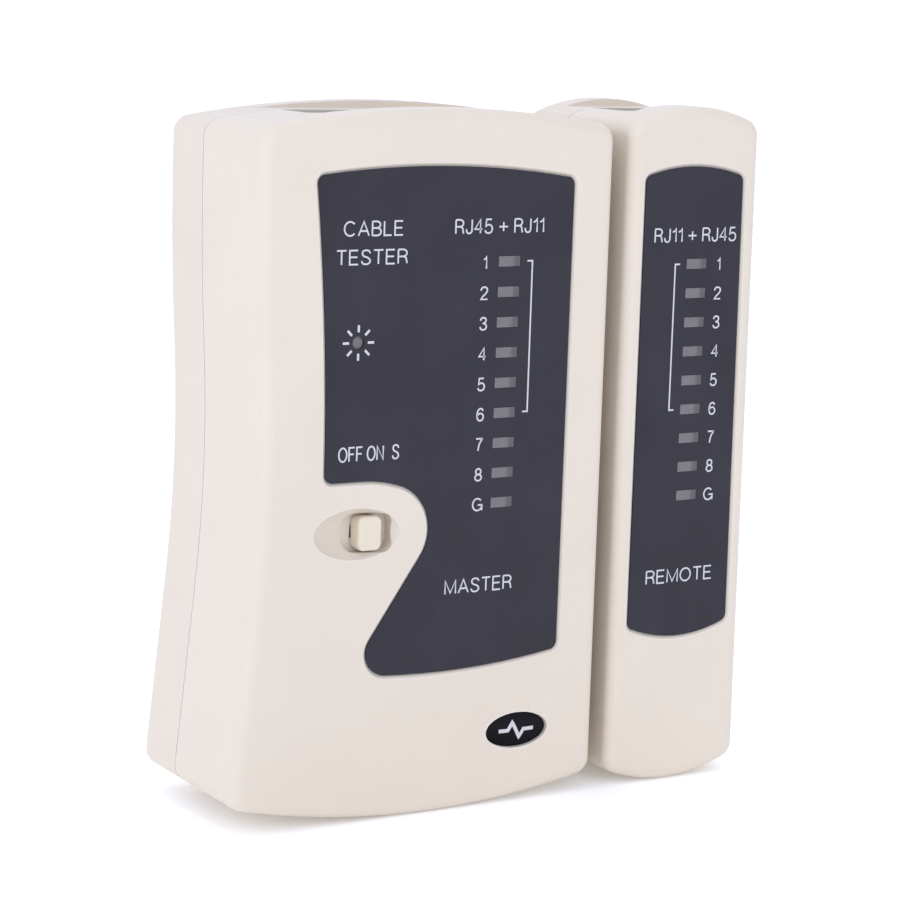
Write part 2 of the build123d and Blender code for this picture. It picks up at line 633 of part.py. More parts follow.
def remote_port_cuts(shell, region):
    """Add the port floors that lie in one shell's own region, then cut the ports."""
    shell += port_plate(REMOTE_TOP_PORT_X, REMOTE_TOP) & region
    shell += port_plate(REMOTE_LOW_PORT_X, 0, up=False) & region
    shell -= port_recess(REMOTE_TOP_PORT_X, REMOTE_TOP)
    shell -= port_recess(REMOTE_LOW_PORT_X, 0, up=False)
    shell -= plug_window(RJ45, REMOTE_JACK_X, REMOTE_TOP)
    return shell - plug_window(RJ11, REMOTE_JACK_X, 0, up=False)


def remote_rear_shell(rear, outline):
    """The remote's back, with the T groove that is open at its lower end."""
    groove_top = RAIL_Z[1] + SLIDE_GAP
    cavity_left = REMOTE_LEFT + WALL
    cavity_right = cavity_left + RAIL_HEAD_THICKNESS + 2 * SLIDE_GAP
    half_head = RAIL_HEAD / 2 + SLIDE_GAP
    half_neck = RAIL_NECK / 2 + SLIDE_GAP
    housing = block(
        (REMOTE_LEFT + WALL / 2, cavity_right + GROOVE_WALL),
        (RAIL_Y - half_head - GROOVE_WALL / 2, RAIL_Y + half_head + GROOVE_WALL / 2),
        (0, groove_top + GROOVE_WALL),
    )
    rear += housing & rear_region(outline)
    rear = rear_screw_posts(rear, REMOTE_CASE_SCREWS)
    rear -= block((cavity_left, cavity_right), (RAIL_Y - half_head, RAIL_Y + half_head), (-1, groove_top))
    rear -= block((0, cavity_left + 0.1), (RAIL_Y - half_neck, RAIL_Y + half_neck), (-1, groove_top))
    return remote_port_cuts(rear, rear_region(outline))


# ---- Labels, badge and lamps ---------------------------------------------------------
def master_label():
    label = slab(master_label_outline(), LABEL_FACE_Y, RECESS_FLOOR_Y)
    label -= led_windows(MASTER_LED_X, MASTER_LED_TOP_Z, LED_WINDOW_GAP / 2)
    return label - rod_y(*POWER_LED, POWER_WINDOW_RADIUS, FRONT_Y, INSIDE_FRONT_Y)


def remote_label():
    label = slab(remote_label_outline(), LABEL_FACE_Y, RECESS_FLOOR_Y)
    return label - led_windows(REMOTE_LED_X, REMOTE_LED_TOP_Z, LED_WINDOW_GAP / 2)


def front_badge():
    face = Pos(*BADGE_CENTER) * Ellipse(BADGE_SIZE[0] / 2, BADGE_SIZE[1] / 2)
    badge = slab(face, FRONT_Y, FRONT_Y + BADGE_DEPTH)
    return fillet(badge.faces().sort_by(Axis.Y)[0].edges(), BADGE_ROUND)


def lamp_leg(x, z):
    """One lamp leg, through the board."""
    return rod_y(x, z, WIRE_RADIUS, BOARD_FRONT_Y, BOARD_BACK_Y + LED_LEG_REACH)


def leg_places(x, heights, spacing):
    """Where each lamp's two legs go through the board."""
    return [(x + side * spacing / 2, z) for z in heights for side in (-1, 1)]


def indicator_leds(x, top_z):
    """Rectangular lamps that stand on the board and fill the label's windows."""
    lamps = []
    for z in led_heights(top_z):
        lamp = slab(Pos(x, z) * Rectangle(LED_WIDTH, LED_HEIGHT), LABEL_FACE_Y, BOARD_FRONT_Y)
        lamp += [lamp_leg(*place) for place in leg_places(x, [z], LED_LEG_SPACING)]
        lamps.append(lamp)
    return lamps


def power_led():
    """The round power lamp, with a domed end and a flange."""
    lamp = rod_y(*POWER_LED, POWER_LED_RADIUS, RECESS_FLOOR_Y, BOARD_FRONT_Y)
    lamp = fillet(lamp.faces().sort_by(Axis.Y)[0].edges(), POWER_LED_RADIUS * 0.6)
    flange = rod_y(*POWER_LED, POWER_LED_RADIUS + POWER_LED_FLANGE, BOARD_FRONT_Y - 1, BOARD_FRONT_Y)
    legs = leg_places(POWER_LED[0], [POWER_LED[1]], POWER_LED_LEG_SPACING)
    return lamp + flange + [lamp_leg(*place) for place in legs]


# ---- Boards and what is soldered to them ---------------------------------------------
def board(limits, screw_places, post_places, legs):
    """A circuit board with screw holes, clearance for the case posts and lamp leg holes."""
    left, bottom, right, top = limits
    face = Pos((left + right) / 2, (bottom + top) / 2)
    face *= RectangleRounded(right - left, top - bottom, BOARD_CORNER)
    plate = slab(face, BOARD_FRONT_Y, BOARD_BACK_Y)
    plate -= holes(screw_places, SCREW_RADIUS + BOARD_SCREW_GAP, BOARD_FRONT_Y, BOARD_BACK_Y)
    plate -= holes(post_places, BOSS_RADIUS + BOARD_POST_GAP, BOARD_FRONT_Y, BOARD_BACK_Y)
    return plate - holes(legs, LEG_HOLE_RADIUS, BOARD_FRONT_Y, BOARD_BACK_Y)


def master_circuit_board():
    legs = leg_places(MASTER_LED_X, led_heights(MASTER_LED_TOP_Z), LED_LEG_SPACING)
    legs += leg_places(POWER_LED[0], [POWER_LED[1]], POWER_LED_LEG_SPACING)
    return board(MASTER_BOARD, MASTER_BOARD_SCREWS, MASTER_CASE_SCREWS, legs)


def remote_circuit_board():
    legs = leg_places(REMOTE_LED_X, led_heights(REMOTE_LED_TOP_Z), LED_LEG_SPACING)
    return board(REMOTE_BOARD, REMOTE_BOARD_SCREWS, REMOTE_CASE_SCREWS, legs)


def jack(spec, x, mouth_z, up):
    """A modular jack lying on the board's back, its mouth at the end of the case."""
    direction = 1 if up else -1
    y_low = BOARD_BACK_Y + JACK_BOARD_GAP
    half = spec["width"] / 2
    z_range = sorted((mouth_z, mouth_z - direction * spec["depth"]))
    body = block((x - half, x + half), (y_low, y_low + spec["height"]), z_range)
    cavity_z = sorted((mouth_z + direction, mouth_z - direction * JACK_CAVITY_DEPTH))
    body -= plug_opening(spec, x, cavity_z, 0)
    comb_low = jack_middle(spec) + spec["mouth"][1] / 2 - 0.1
    half_comb = spec["contacts"] * CONTACT_PITCH / 2
    return body - block((x - half_comb, x + half_comb), (comb_low, comb_low + COMB_DEPTH + 0.1), cavity_z)


def jack_middle(spec):
    """The depth of a jack's plug opening, left high on the body to make room for the latch."""
    return BOARD_BACK_Y + JACK_BOARD_GAP + spec["height"] / 2 + JACK_MOUTH_Y


def jack_contacts(spec, x, mouth_z, up):
    """Spring wires that slant from the mouth's edge down into a jack's cavity."""
    inward = -1 if up else 1
    root_y = jack_middle(spec) + spec["mouth"][1] / 2 + CONTACT_ROOT_DEPTH
    start = Vector(0, root_y, mouth_z + inward * CONTACT_START)
    bend = Vector(0, root_y, mouth_z + inward * CONTACT_BEND)
    end = Vector(0, jack_middle(spec) + CONTACT_TIP_DEPTH, mouth_z + inward * CONTACT_END)
    wires = []
    for index in range(spec["contacts"]):
        shift = Vector(x + (index - (spec["contacts"] - 1) / 2) * CONTACT_PITCH, 0, 0)
        path = FilletPolyline(start + shift, bend + shift, end + shift, radius=CONTACT_BEND_RADIUS)
        section = Plane(origin=path @ 0, z_dir=path % 0) * Circle(CONTACT_RADIUS)
        wires.append(sweep(section, path=path))
    return wires


def driver_chips():
    """Two dual in-line chips on the board's front."""
    half_width = CHIP_SIZE[0] / 2
    half_length = CHIP_SIZE[2] / 2
    back_y = BOARD_FRONT_Y - CHIP_STAND_OFF
    chips = []
    for x, z in CHIP_PLACES:
        chip = block(
            (x - half_width, x + half_width),
            (back_y - CHIP_SIZE[1], back_y),
            (z - half_length, z + half_length),
        )
        for row in range(CHIP_PIN_ROWS):
            pin_z = z + (row - (CHIP_PIN_ROWS - 1) / 2) * CHIP_PIN_PITCH
            pin_range = (pin_z - CHIP_PIN_WIDTH / 2, pin_z + CHIP_PIN_WIDTH / 2)
            for side in (-1, 1):
                pin_x = sorted((x + side * (half_width - 0.1), x + side * (half_width + CHIP_PIN_REACH)))
                chip += block(pin_x, (BOARD_FRONT_Y - CHIP_PIN_DROP, BOARD_FRONT_Y), pin_range)
        chips.append(chip)
    return chips


def axial_parts(spec, x, on_front, heights):
    """A column of axial components: a round body on a wire with its ends bent to the board."""
    surface = BOARD_FRONT_Y if on_front else BOARD_BACK_Y
    y = surface - AXIAL_STAND_OFF if on_front else surface + AXIAL_STAND_OFF
    half_length = spec["length"] / 2
    half_span = spec["span"] / 2
    parts = []
    for z in heights:
        part = rod_x(x - half_length, x + half_length, y, z, spec["radius"])
        part += rod_x(x - half_span - WIRE_RADIUS, x + half_span + WIRE_RADIUS, y, z, WIRE_RADIUS)
        part += [rod_y(x + side * half_span, z, LEG_RADIUS, *sorted((y, surface))) for side in (-1, 1)]
        parts.append(part)
    return parts


def timing_capacitors():
    """Two small electrolytic cans lying on the board's front, each with two bent legs."""
    half = CAPACITOR_LENGTH / 2
    leg_y = CAPACITOR_AXIS_Y - 0.2
    cans = []
    for x, z in CAPACITOR_PLACES:
        can = rod_x(x - half, x + half, CAPACITOR_AXIS_Y, z, CAPACITOR_RADIUS)
        can -= rod_x(x + half - 0.1, x + half + 0.1, CAPACITOR_AXIS_Y, z, CAPACITOR_RADIUS * 0.7)
        for side in (-1, 1):
            leg_z = z + side * CAPACITOR_LEG_SHIFT
            can += rod_x(x - half - 0.55, x - half + 0.1, leg_y, leg_z, WIRE_RADIUS)
            can += rod_y(x - half - 0.3, leg_z, LEG_RADIUS, leg_y, BOARD_FRONT_Y)
        cans.append(can)
    return cans


# ---- Slide switch --------------------------------------------------------------------
def switch_frame():
    """The switch's folded sheet-metal can, open towards the board."""
    place = Pos(*KNOB_CENTER)
    frame = slab(place * Rectangle(*SWITCH_SIZE), SWITCH_FRONT_Y, BOARD_FRONT_Y)
    inner = Rectangle(SWITCH_SIZE[0] - 2 * SWITCH_SHEET, SWITCH_SIZE[1] - 2 * SWITCH_SHEET)
    frame -= slab(place * inner, SWITCH_FRONT_Y + SWITCH_SHEET, BOARD_FRONT_Y)
    return frame - slab(place * stem_slot(), SWITCH_FRONT_Y - 1, SWITCH_FRONT_Y + 1)


def terminal_row(width, height, y_from):
    """Four rectangles in a row behind the knob, as solids down to the board."""
    return [
        slab(Pos(KNOB_CENTER[0] + shift, KNOB_CENTER[1]) * Rectangle(width, height), y_from, BOARD_FRONT_Y)
        for shift in TERMINAL_SHIFTS
    ]


def switch_base():
    """The switch's insulating base, which fills the can's open side."""
    room = 2 * SWITCH_SHEET + 0.1
    plate = Pos(*KNOB_CENTER) * Rectangle(SWITCH_SIZE[0] - room, SWITCH_SIZE[1] - room)
    base = slab(plate, BOARD_FRONT_Y - SWITCH_BASE_THICKNESS, BOARD_FRONT_Y)
    return base - terminal_row(TERMINAL_SIZE[0] + 0.1, TERMINAL_SIZE[1] + 0.1, BOARD_FRONT_Y - 1)


def switch_terminals():
    """Four contact pads set in the switch's base."""
    return terminal_row(*TERMINAL_SIZE, BOARD_FRONT_Y - SWITCH_BASE_THICKNESS)


def switch_actuator():
    """The slider inside the switch, with the stem that comes out through the case."""
    place = Pos(*KNOB_CENTER)
    sled_back_y = BOARD_FRONT_Y - SWITCH_BASE_THICKNESS - 0.2
    sled = slab(place * Rectangle(*SLED_SIZE), SWITCH_FRONT_Y + SWITCH_SHEET + 0.2, sled_back_y)
    stem = slab(place * Rectangle(*STEM_SIZE), WELL_FLOOR_Y - STEM_GRIP, sled_back_y - 0.2)
    return sled + stem


def switch_knob():
    """The moulded cap on the switch's stem."""
    place = Pos(*KNOB_CENTER)
    cap = slab(place * RectangleRounded(*KNOB_SIZE, KNOB_CORNER), FRONT_Y, WELL_FLOOR_Y - 0.25)
    cap = fillet(cap.faces().sort_by(Axis.Y)[0].edges(), KNOB_ROUND)
    socket = Rectangle(STEM_SIZE[0] + 0.04, STEM_SIZE[1] + 0.04)
    return cap - slab(place * socket, WELL_FLOOR_Y - STEM_GRIP - 0.05, WELL_FLOOR_Y)


# ---- Battery -------------------------------------------------------------------------
def battery_can():
    width, thickness, height = BATTERY_SIZE
    can = block(
        (BATTERY_X - width / 2, BATTERY_X + width / 2),
        (BATTERY_FRONT_Y, BATTERY_FRONT_Y + thickness),
        (BATTERY_BOTTOM_Z, BATTERY_TOP_Z),
    )
    return fillet(can.edges().filter_by(Axis.Z), BATTERY_CORNER)


def stud(side, radius, z, height):
    """A round upright on top of the battery, to the left or right of its middle."""
    place = Pos(BATTERY_X + side * STUD_SHIFT, BATTERY_MIDDLE_Y, z)
    return place * Cylinder(radius, height, align=(Align.CENTER, Align.CENTER, Align.MIN))


def battery_terminals():
    """The round and the flared snap stud on top of the battery."""
    positive = stud(-1, POSITIVE_STUD_RADIUS, BATTERY_TOP_Z, STUD_HEIGHT)
    negative = stud(1, NEGATIVE_STUD_RADIUS, BATTERY_TOP_Z, STUD_HEIGHT)
    return [positive, negative - stud(1, NEGATIVE_STUD_BORE, BATTERY_TOP_Z + 1, STUD_HEIGHT)]


def battery_snap():
    """The moulded connector that clips over the battery's studs."""
    half_width = SNAP_SIZE[0] / 2
    half_thickness = SNAP_SIZE[1] / 2
    snap = block(
        (BATTERY_X - half_width, BATTERY_X + half_width),
        (BATTERY_MIDDLE_Y - half_thickness, BATTERY_MIDDLE_Y + half_thickness),
        (SNAP_TOP_Z - SNAP_SIZE[2], SNAP_TOP_Z),
    )
    snap = fillet(snap.edges().filter_by(Axis.Z), SNAP_CORNER)
    snap -= stud(-1, POSITIVE_STUD_RADIUS + SNAP_GAP, BATTERY_TOP_Z, STUD_HEIGHT + SNAP_GAP)
    return snap - stud(1, NEGATIVE_STUD_RADIUS + SNAP_GAP, BATTERY_TOP_Z, STUD_HEIGHT + SNAP_GAP)


def battery_lead(x):
    """One insulated wire, from the connector up through the bay wall and down to the board."""
    path = FilletPolyline(
        (x, LEAD_Y, SNAP_TOP_Z), (x, LEAD_Y, LEAD_TOP_Z), (x, BOARD_BACK_Y, LEAD_TOP_Z),
        radius=LEAD_TURN_RADIUS,
    )
    return sweep(Plane(origin=path @ 0, z_dir=path % 0) * Circle(LEAD_RADIUS), path=path)


def battery_foam():
    """The foam strip that keeps the battery from rattling in its bay."""
    half = BATTERY_SIZE[0] / 2 - FOAM_MARGIN
    y_range = (BATTERY_FRONT_Y + FOAM_MARGIN, BATTERY_FRONT_Y + BATTERY_SIZE[1] - 2.4)
    z_range = (BATTERY_BOTTOM_Z - FOAM_THICKNESS, BATTERY_BOTTOM_Z)
    return block((BATTERY_X - half, BATTERY_X + half), y_range, z_range)


def battery_door(outline):
    """The sliding door: the case's own rear skin, with tongues and finger grooves."""
    skin = slab(outline, FRONT_Y, BACK_Y)
    skin = fillet(skin.faces().sort_by(Axis.Y)[-1].edges(), REAR_ROUND)
    inside_edge = slab(offset(outline, -DOOR_EDGE_GAP), FRONT_Y, BACK_Y)
    bridge = block(
        (BATTERY_X - DOOR_HALF_WIDTH, BATTERY_X + DOOR_HALF_WIDTH),
        (INSIDE_BACK_Y - TONGUE_GAP - TONGUE_THICKNESS, BACK_Y - 1),
        (-FAR, DOOR_TOP_Z - DOOR_SKIRT),
    )
    hollow_half = DOOR_HALF_WIDTH - DOOR_RIM
    hollow = block(
        (BATTERY_X - hollow_half, BATTERY_X + hollow_half), (0, DOOR_INSIDE_Y), (BATTERY_BOTTOM_Z - 1, FAR)
    )
    door = skin & door_panel(0)
    door += (door_tongues(0) & inside_edge) + (bridge & inside_edge)
    return door - hollow - finger_grooves()


def finger_grooves():
    """The row of grooves near the door's top that a finger pushes on."""
    width, height, depth = RIDGE_SIZE
    heights = [DOOR_TOP_Z - RIDGE_DROP - RIDGE_PITCH * index for index in range(RIDGE_COUNT)]
    x_range = (BATTERY_X - width / 2, BATTERY_X + width / 2)
    return [block(x_range, (BACK_Y - depth, BACK_Y + 1), (z - height / 2, z + height / 2)) for z in heights]


# ---- Screws --------------------------------------------------------------------------
def screws(places, head_y, tip_y):
    """Pan-head screws driven from the back, each with a cross slot."""
    top_y = head_y + HEAD_HEIGHT
    made = []
    for x, z in places:
        head = rod_y(x, z, SCREW_HEAD_RADIUS, head_y, top_y)
        head = fillet(head.faces().sort_by(Axis.Y)[-1].edges(), HEAD_ROUND)
        for size in (CROSS_SLOT, CROSS_SLOT[::-1]):
            head -= slab(Pos(x, z) * Rectangle(*size), top_y - CROSS_DEPTH, top_y + 1)
        made.append(head + rod_y(x, z, SCREW_RADIUS, tip_y, head_y))
    return made


# ---- Writing the parts ---------------------------------------------------------------
def solids_of(shape):
    """The separate solids of a node, which may be one shape or a list of them."""
    pieces = shape if isinstance(shape, (list, tuple)) else [shape]
    return [solid for piece in pieces for solid in piece.solids()]


def write(name, shape):
    solids = solids_of(shape)
    model = solids[0] if len(solids) == 1 else Compound(solids)
    export_step(model, f"parts/{name}.step")


def master_nodes():
    outline = master_outline()
    front, rear = case_halves(outline)
    mouth_z = MASTER_TOP - MOUTH_BELOW_CROWN
    return {
        "master_front_shell": master_front_shell(front, outline),
        "master_rear_shell": master_rear_shell(rear, outline),
        "master_label": master_label(),
        "front_badge": front_badge(),
        "master_circuit_board": master_circuit_board(),
        "master_rj45_jack": jack(RJ45, MASTER_RJ45_X, mouth_z, up=True),
        "master_rj11_jack": jack(RJ11, MASTER_RJ11_X, mouth_z, up=True),
        "master_rj45_contacts": jack_contacts(RJ45, MASTER_RJ45_X, mouth_z, up=True),
        "master_rj11_contacts": jack_contacts(RJ11, MASTER_RJ11_X, mouth_z, up=True),
        "master_indicator_leds": indicator_leds(MASTER_LED_X, MASTER_LED_TOP_Z),
        "power_led": power_led(),
        "driver_chips": driver_chips(),
        "master_resistors": axial_parts(
            RESISTOR, MASTER_RESISTOR_X, True, led_heights(MASTER_LED_TOP_Z)
        ),
        "timing_capacitors": timing_capacitors(),
        "switch_frame": switch_frame(),
        "switch_base": switch_base(),
        "switch_terminals": switch_terminals(),
        "switch_actuator": switch_actuator(),
        "switch_knob": switch_knob(),
        "battery_can": battery_can(),
        "battery_terminals": battery_terminals(),
        "battery_snap_connector": battery_snap(),
        "battery_lead_red": battery_lead(BATTERY_X - LEAD_SHIFT),
        "battery_lead_black": battery_lead(BATTERY_X + LEAD_SHIFT),
        "battery_foam_pad": battery_foam(),
        "battery_door": battery_door(outline),
        "master_case_screws": screws(MASTER_CASE_SCREWS, CASE_SCREW_HEAD_Y, CASE_SCREW_TIP_Y),
        "master_board_screws": screws(MASTER_BOARD_SCREWS, BOARD_BACK_Y, BOARD_SCREW_TIP_Y),
    }


def remote_nodes():
    outline = remote_outline()
    front, rear = case_halves(outline)
    mouth_z = REMOTE_TOP - MOUTH_BELOW_CROWN
    diode_heights = [DIODE_LOW_Z + LED_PITCH * index for index in range(DIODE_COUNT)]
    return {
        "remote_front_shell": remote_front_shell(front, outline),
        "remote_rear_shell": remote_rear_shell(rear, outline),
        "remote_label": remote_label(),
        "remote_circuit_board": remote_circuit_board(),
        "remote_rj45_jack": jack(RJ45, REMOTE_JACK_X, mouth_z, up=True),
        "remote_rj11_jack": jack(RJ11, REMOTE_JACK_X, MOUTH_BELOW_CROWN, up=False),
        "remote_rj45_contacts": jack_contacts(RJ45, REMOTE_JACK_X, mouth_z, up=True),
        "remote_rj11_contacts": jack_contacts(RJ11, REMOTE_JACK_X, MOUTH_BELOW_CROWN, up=False),
        "remote_indicator_leds": indicator_leds(REMOTE_LED_X, REMOTE_LED_TOP_Z),
        "remote_diodes": axial_parts(DIODE, DIODE_X, False, diode_heights),
        "remote_resistors": axial_parts(
            RESISTOR, REMOTE_RESISTOR_X, True, led_heights(REMOTE_LED_TOP_Z)[1:]
        ),
        "remote_case_screws": screws(REMOTE_CASE_SCREWS, CASE_SCREW_HEAD_Y, CASE_SCREW_TIP_Y),
        "remote_board_screws": screws(REMOTE_BOARD_SCREWS, BOARD_BACK_Y, BOARD_SCREW_TIP_Y),
    }


def main():
    os.makedirs("parts", exist_ok=True)
    for name, shape in {**master_nodes(), **remote_nodes()}.items():
        write(name, shape)


main()
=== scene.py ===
# Network cable tester: the looks of the master unit and the remote unit, in metres, in the CAD frame.
# +X is to the right of the front, +Y to the back and +Z up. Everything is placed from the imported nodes.

import math

import bmesh
import bpy
from mathutils import Matrix, Vector


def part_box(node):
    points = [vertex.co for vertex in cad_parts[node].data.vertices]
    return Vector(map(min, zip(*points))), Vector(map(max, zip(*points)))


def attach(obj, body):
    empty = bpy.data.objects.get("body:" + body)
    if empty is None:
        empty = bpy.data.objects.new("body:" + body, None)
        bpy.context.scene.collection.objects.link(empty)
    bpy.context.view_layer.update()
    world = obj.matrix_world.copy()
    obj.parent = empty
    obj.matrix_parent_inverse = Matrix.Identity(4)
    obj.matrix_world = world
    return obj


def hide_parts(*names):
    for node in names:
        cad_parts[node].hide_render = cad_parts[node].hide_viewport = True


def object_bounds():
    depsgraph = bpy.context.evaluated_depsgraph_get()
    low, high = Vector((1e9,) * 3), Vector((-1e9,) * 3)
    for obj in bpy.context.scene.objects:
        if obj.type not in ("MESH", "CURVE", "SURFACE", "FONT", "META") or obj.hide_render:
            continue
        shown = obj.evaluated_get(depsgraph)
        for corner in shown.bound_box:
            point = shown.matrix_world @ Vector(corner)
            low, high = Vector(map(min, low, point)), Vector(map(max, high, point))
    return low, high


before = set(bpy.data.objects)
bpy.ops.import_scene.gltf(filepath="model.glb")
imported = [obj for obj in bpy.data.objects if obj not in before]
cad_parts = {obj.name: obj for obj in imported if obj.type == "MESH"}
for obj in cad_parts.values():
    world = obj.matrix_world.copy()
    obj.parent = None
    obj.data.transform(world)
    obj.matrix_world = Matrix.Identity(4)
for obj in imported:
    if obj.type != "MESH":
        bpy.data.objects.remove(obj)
cad_low, cad_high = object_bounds()

MM = 0.001
MASTER = "master_unit"
REMOTE = "remote_unit"

# ---- Camera -------------------------------------------------------------------------
CAMERA_AIM = Vector((-9.69, -14.81, 53.82)) * MM
CAMERA_DISTANCE = 402.1 * MM
CAMERA_AZIMUTH = math.radians(31.14)      # round to the object's left
CAMERA_ELEVATION = math.radians(9.44)
CAMERA_ROLL = math.radians(1.83)
CAMERA_LENS = 112.0           # in millimetres
CAMERA_SENSOR = 36.0          # its width, in millimetres
CAMERA_NEAR = 0.01            # the nearest distance seen, in metres

# ---- Light --------------------------------------------------------------------------
SKY_COLOR = (0.955, 1.0, 1.18)
SKY_STRENGTH = 1.08
SKY_DARK_SIDE = (0.86, -0.5, 0.0)     # the way to the surround's darker side
SKY_DARK = 0.5                # its brightness there, as a share of the rest
SKY_FALL = (0.2, 0.95)        # where the fall to that side starts and ends
# Soft lamps: name, place and size in metres, power in watts.
LAMPS = [
    ("key", (0.12, -1.1, 0.6), (0.8, 0.8), 2.2),
    ("top", (0.0, 0.0, 1.1), (0.9, 0.9), 1.0),
    ("side", (-1.0, -0.1, 0.5), (0.6, 0.9), 0.8),
]

# ---- Floor ---------------------------------------------------------------------------
FLOOR_HALF = 3.0              # half its width, in metres
FLOOR_WHITE = (0.97, 0.97, 0.97)
FLOOR_GLOW = 0.16             # a light table's glow, which keeps the paper white round the object

# ---- Case edges: painted highlight, a paler colour on convex edges for the light they catch ---
EDGE_HIGHLIGHT_WIDTH = 0.3              # in millimetres
EDGE_HIGHLIGHT_COLOR = (0.78, 0.75, 0.74)
EDGE_SAMPLES = 4
EDGE_TURN = 0.86              # cosine of the normal's turn that counts as a full edge

# ---- Material patterns, lengths in millimetres ---------------------------------------
NOISE_RANGE = (0.3, 0.7)      # what a noise's values mostly stay within
NOISE_ROUGHNESS = 0.55
CASE_SOIL = 0.9               # how dark the case's flecks are, as a share of its colour
LENS_SHADE = (0.5, 1.1)       # right of a lens's middle: where its painted shade starts and is full
LENS_PAST = (2.5, 3.0)        # right of a master lens's middle: where its painted shade fades out
COMPONENT_CLOUD = 2.5
COMPONENT_GRAIN = 0.2
COMPONENT_RELIEF = 0.008
TRACE_SCALE = 0.35            # of the circuit board's pattern of traces
TRACE_GAP = 0.06              # between traces, in the pattern's own units
BATTERY_BAND = 14.0           # how far the battery's pale band reaches down from its top
BATTERY_BAND_BLUR = 0.2
BATTERY_BAND_COLOR = (0.55, 0.36, 0.12)

# ---- Print on the labels, in millimetres ---------------------------------------------
PRINT_RISE = 0.02             # how far the ink stands off the film
PRINT_STEP = 0.002            # between the levels that neighbouring lines take turns on
PRINT_LEVELS = 4
LINE_WIDTH = 0.24
CAPITALS = 2.2                # height of the printed capitals
DIGIT_HEIGHT = 2.0
DIGIT_WIDTH = 1.3
DIGIT_DROP = 0.1              # how far the digits sit below their windows' middles
BRACKET_TICK = 0.85
SUN_RAYS = 8
SUN_RAY_FROM = 1.5
SUN_RAY_TO = 2.5
SUN_RAY_WIDTH = 0.35
LETTER_SPACE = 0.22           # between letters, as a share of their height
BOWL_RADIUS = 0.26            # of the round side of letters such as B, as a share of their height
ARC_TURN = 15                 # degrees for each piece of an arc
ARC_PIECES = 6                # the fewest pieces in an arc
CURVE_PIECES = 5              # between two points of a smooth line
MITRE_LIMIT = 1.6             # how far a line's corner may reach, in half widths
WINDOW_COUNT = 9
WINDOW_HEIGHT = 1.5
WINDOW_FACE = 0.3             # points this close to a lens's front belong to its face
BRACKET_LAST = 6              # the bracket runs from the first window to this one

# Words: text, left and right ends, height of their foot.
MASTER_WORDS = [
    ("CABLE", (-28.0, -18.4), 84.8),
    ("TESTER", (-29.1, -17.6), 80.8),
    ("RJ45 + RJ11", (-10.0, 5.0), 84.8),
    ("OFF", (-28.0, -24.0), 53.0),
    ("ON", (-23.4, -20.6), 53.0),
    ("S", (-19.3, -18.1), 53.0),
    ("MASTER", (-9.9, 1.6), 32.5),
]
MASTER_DIGITS_X = -4.8
MASTER_BRACKET_X = 3.2
REMOTE_WORDS = [("RJ11 + RJ45", (24.5, 39.5), 82.9), ("REMOTE", (25.6, 37.9), 31.0)]
REMOTE_DIGITS_X = 36.5
REMOTE_BRACKET_X = 28.5

# ---- Badge, in millimetres -----------------------------------------------------------
BADGE_RISE = 0.42             # how much the dome falls from its middle to its rim
BADGE_LINE = 0.55
BADGE_LIP = 0.12              # from the dome's rim to the top of its upright side
BADGE_SEGMENTS = 72
BADGE_RINGS = 12
BADGE_OUTER_RING = 0.985      # the last ring before the rim, as a share of the radius
BADGE_MARK_STEPS = 6
BADGE_MARK = [(-3.0, 0.0), (-1.5, 0.0), (-0.7, 1.15), (0.5, -1.15), (1.2, 0.0), (3.0, 0.0)]


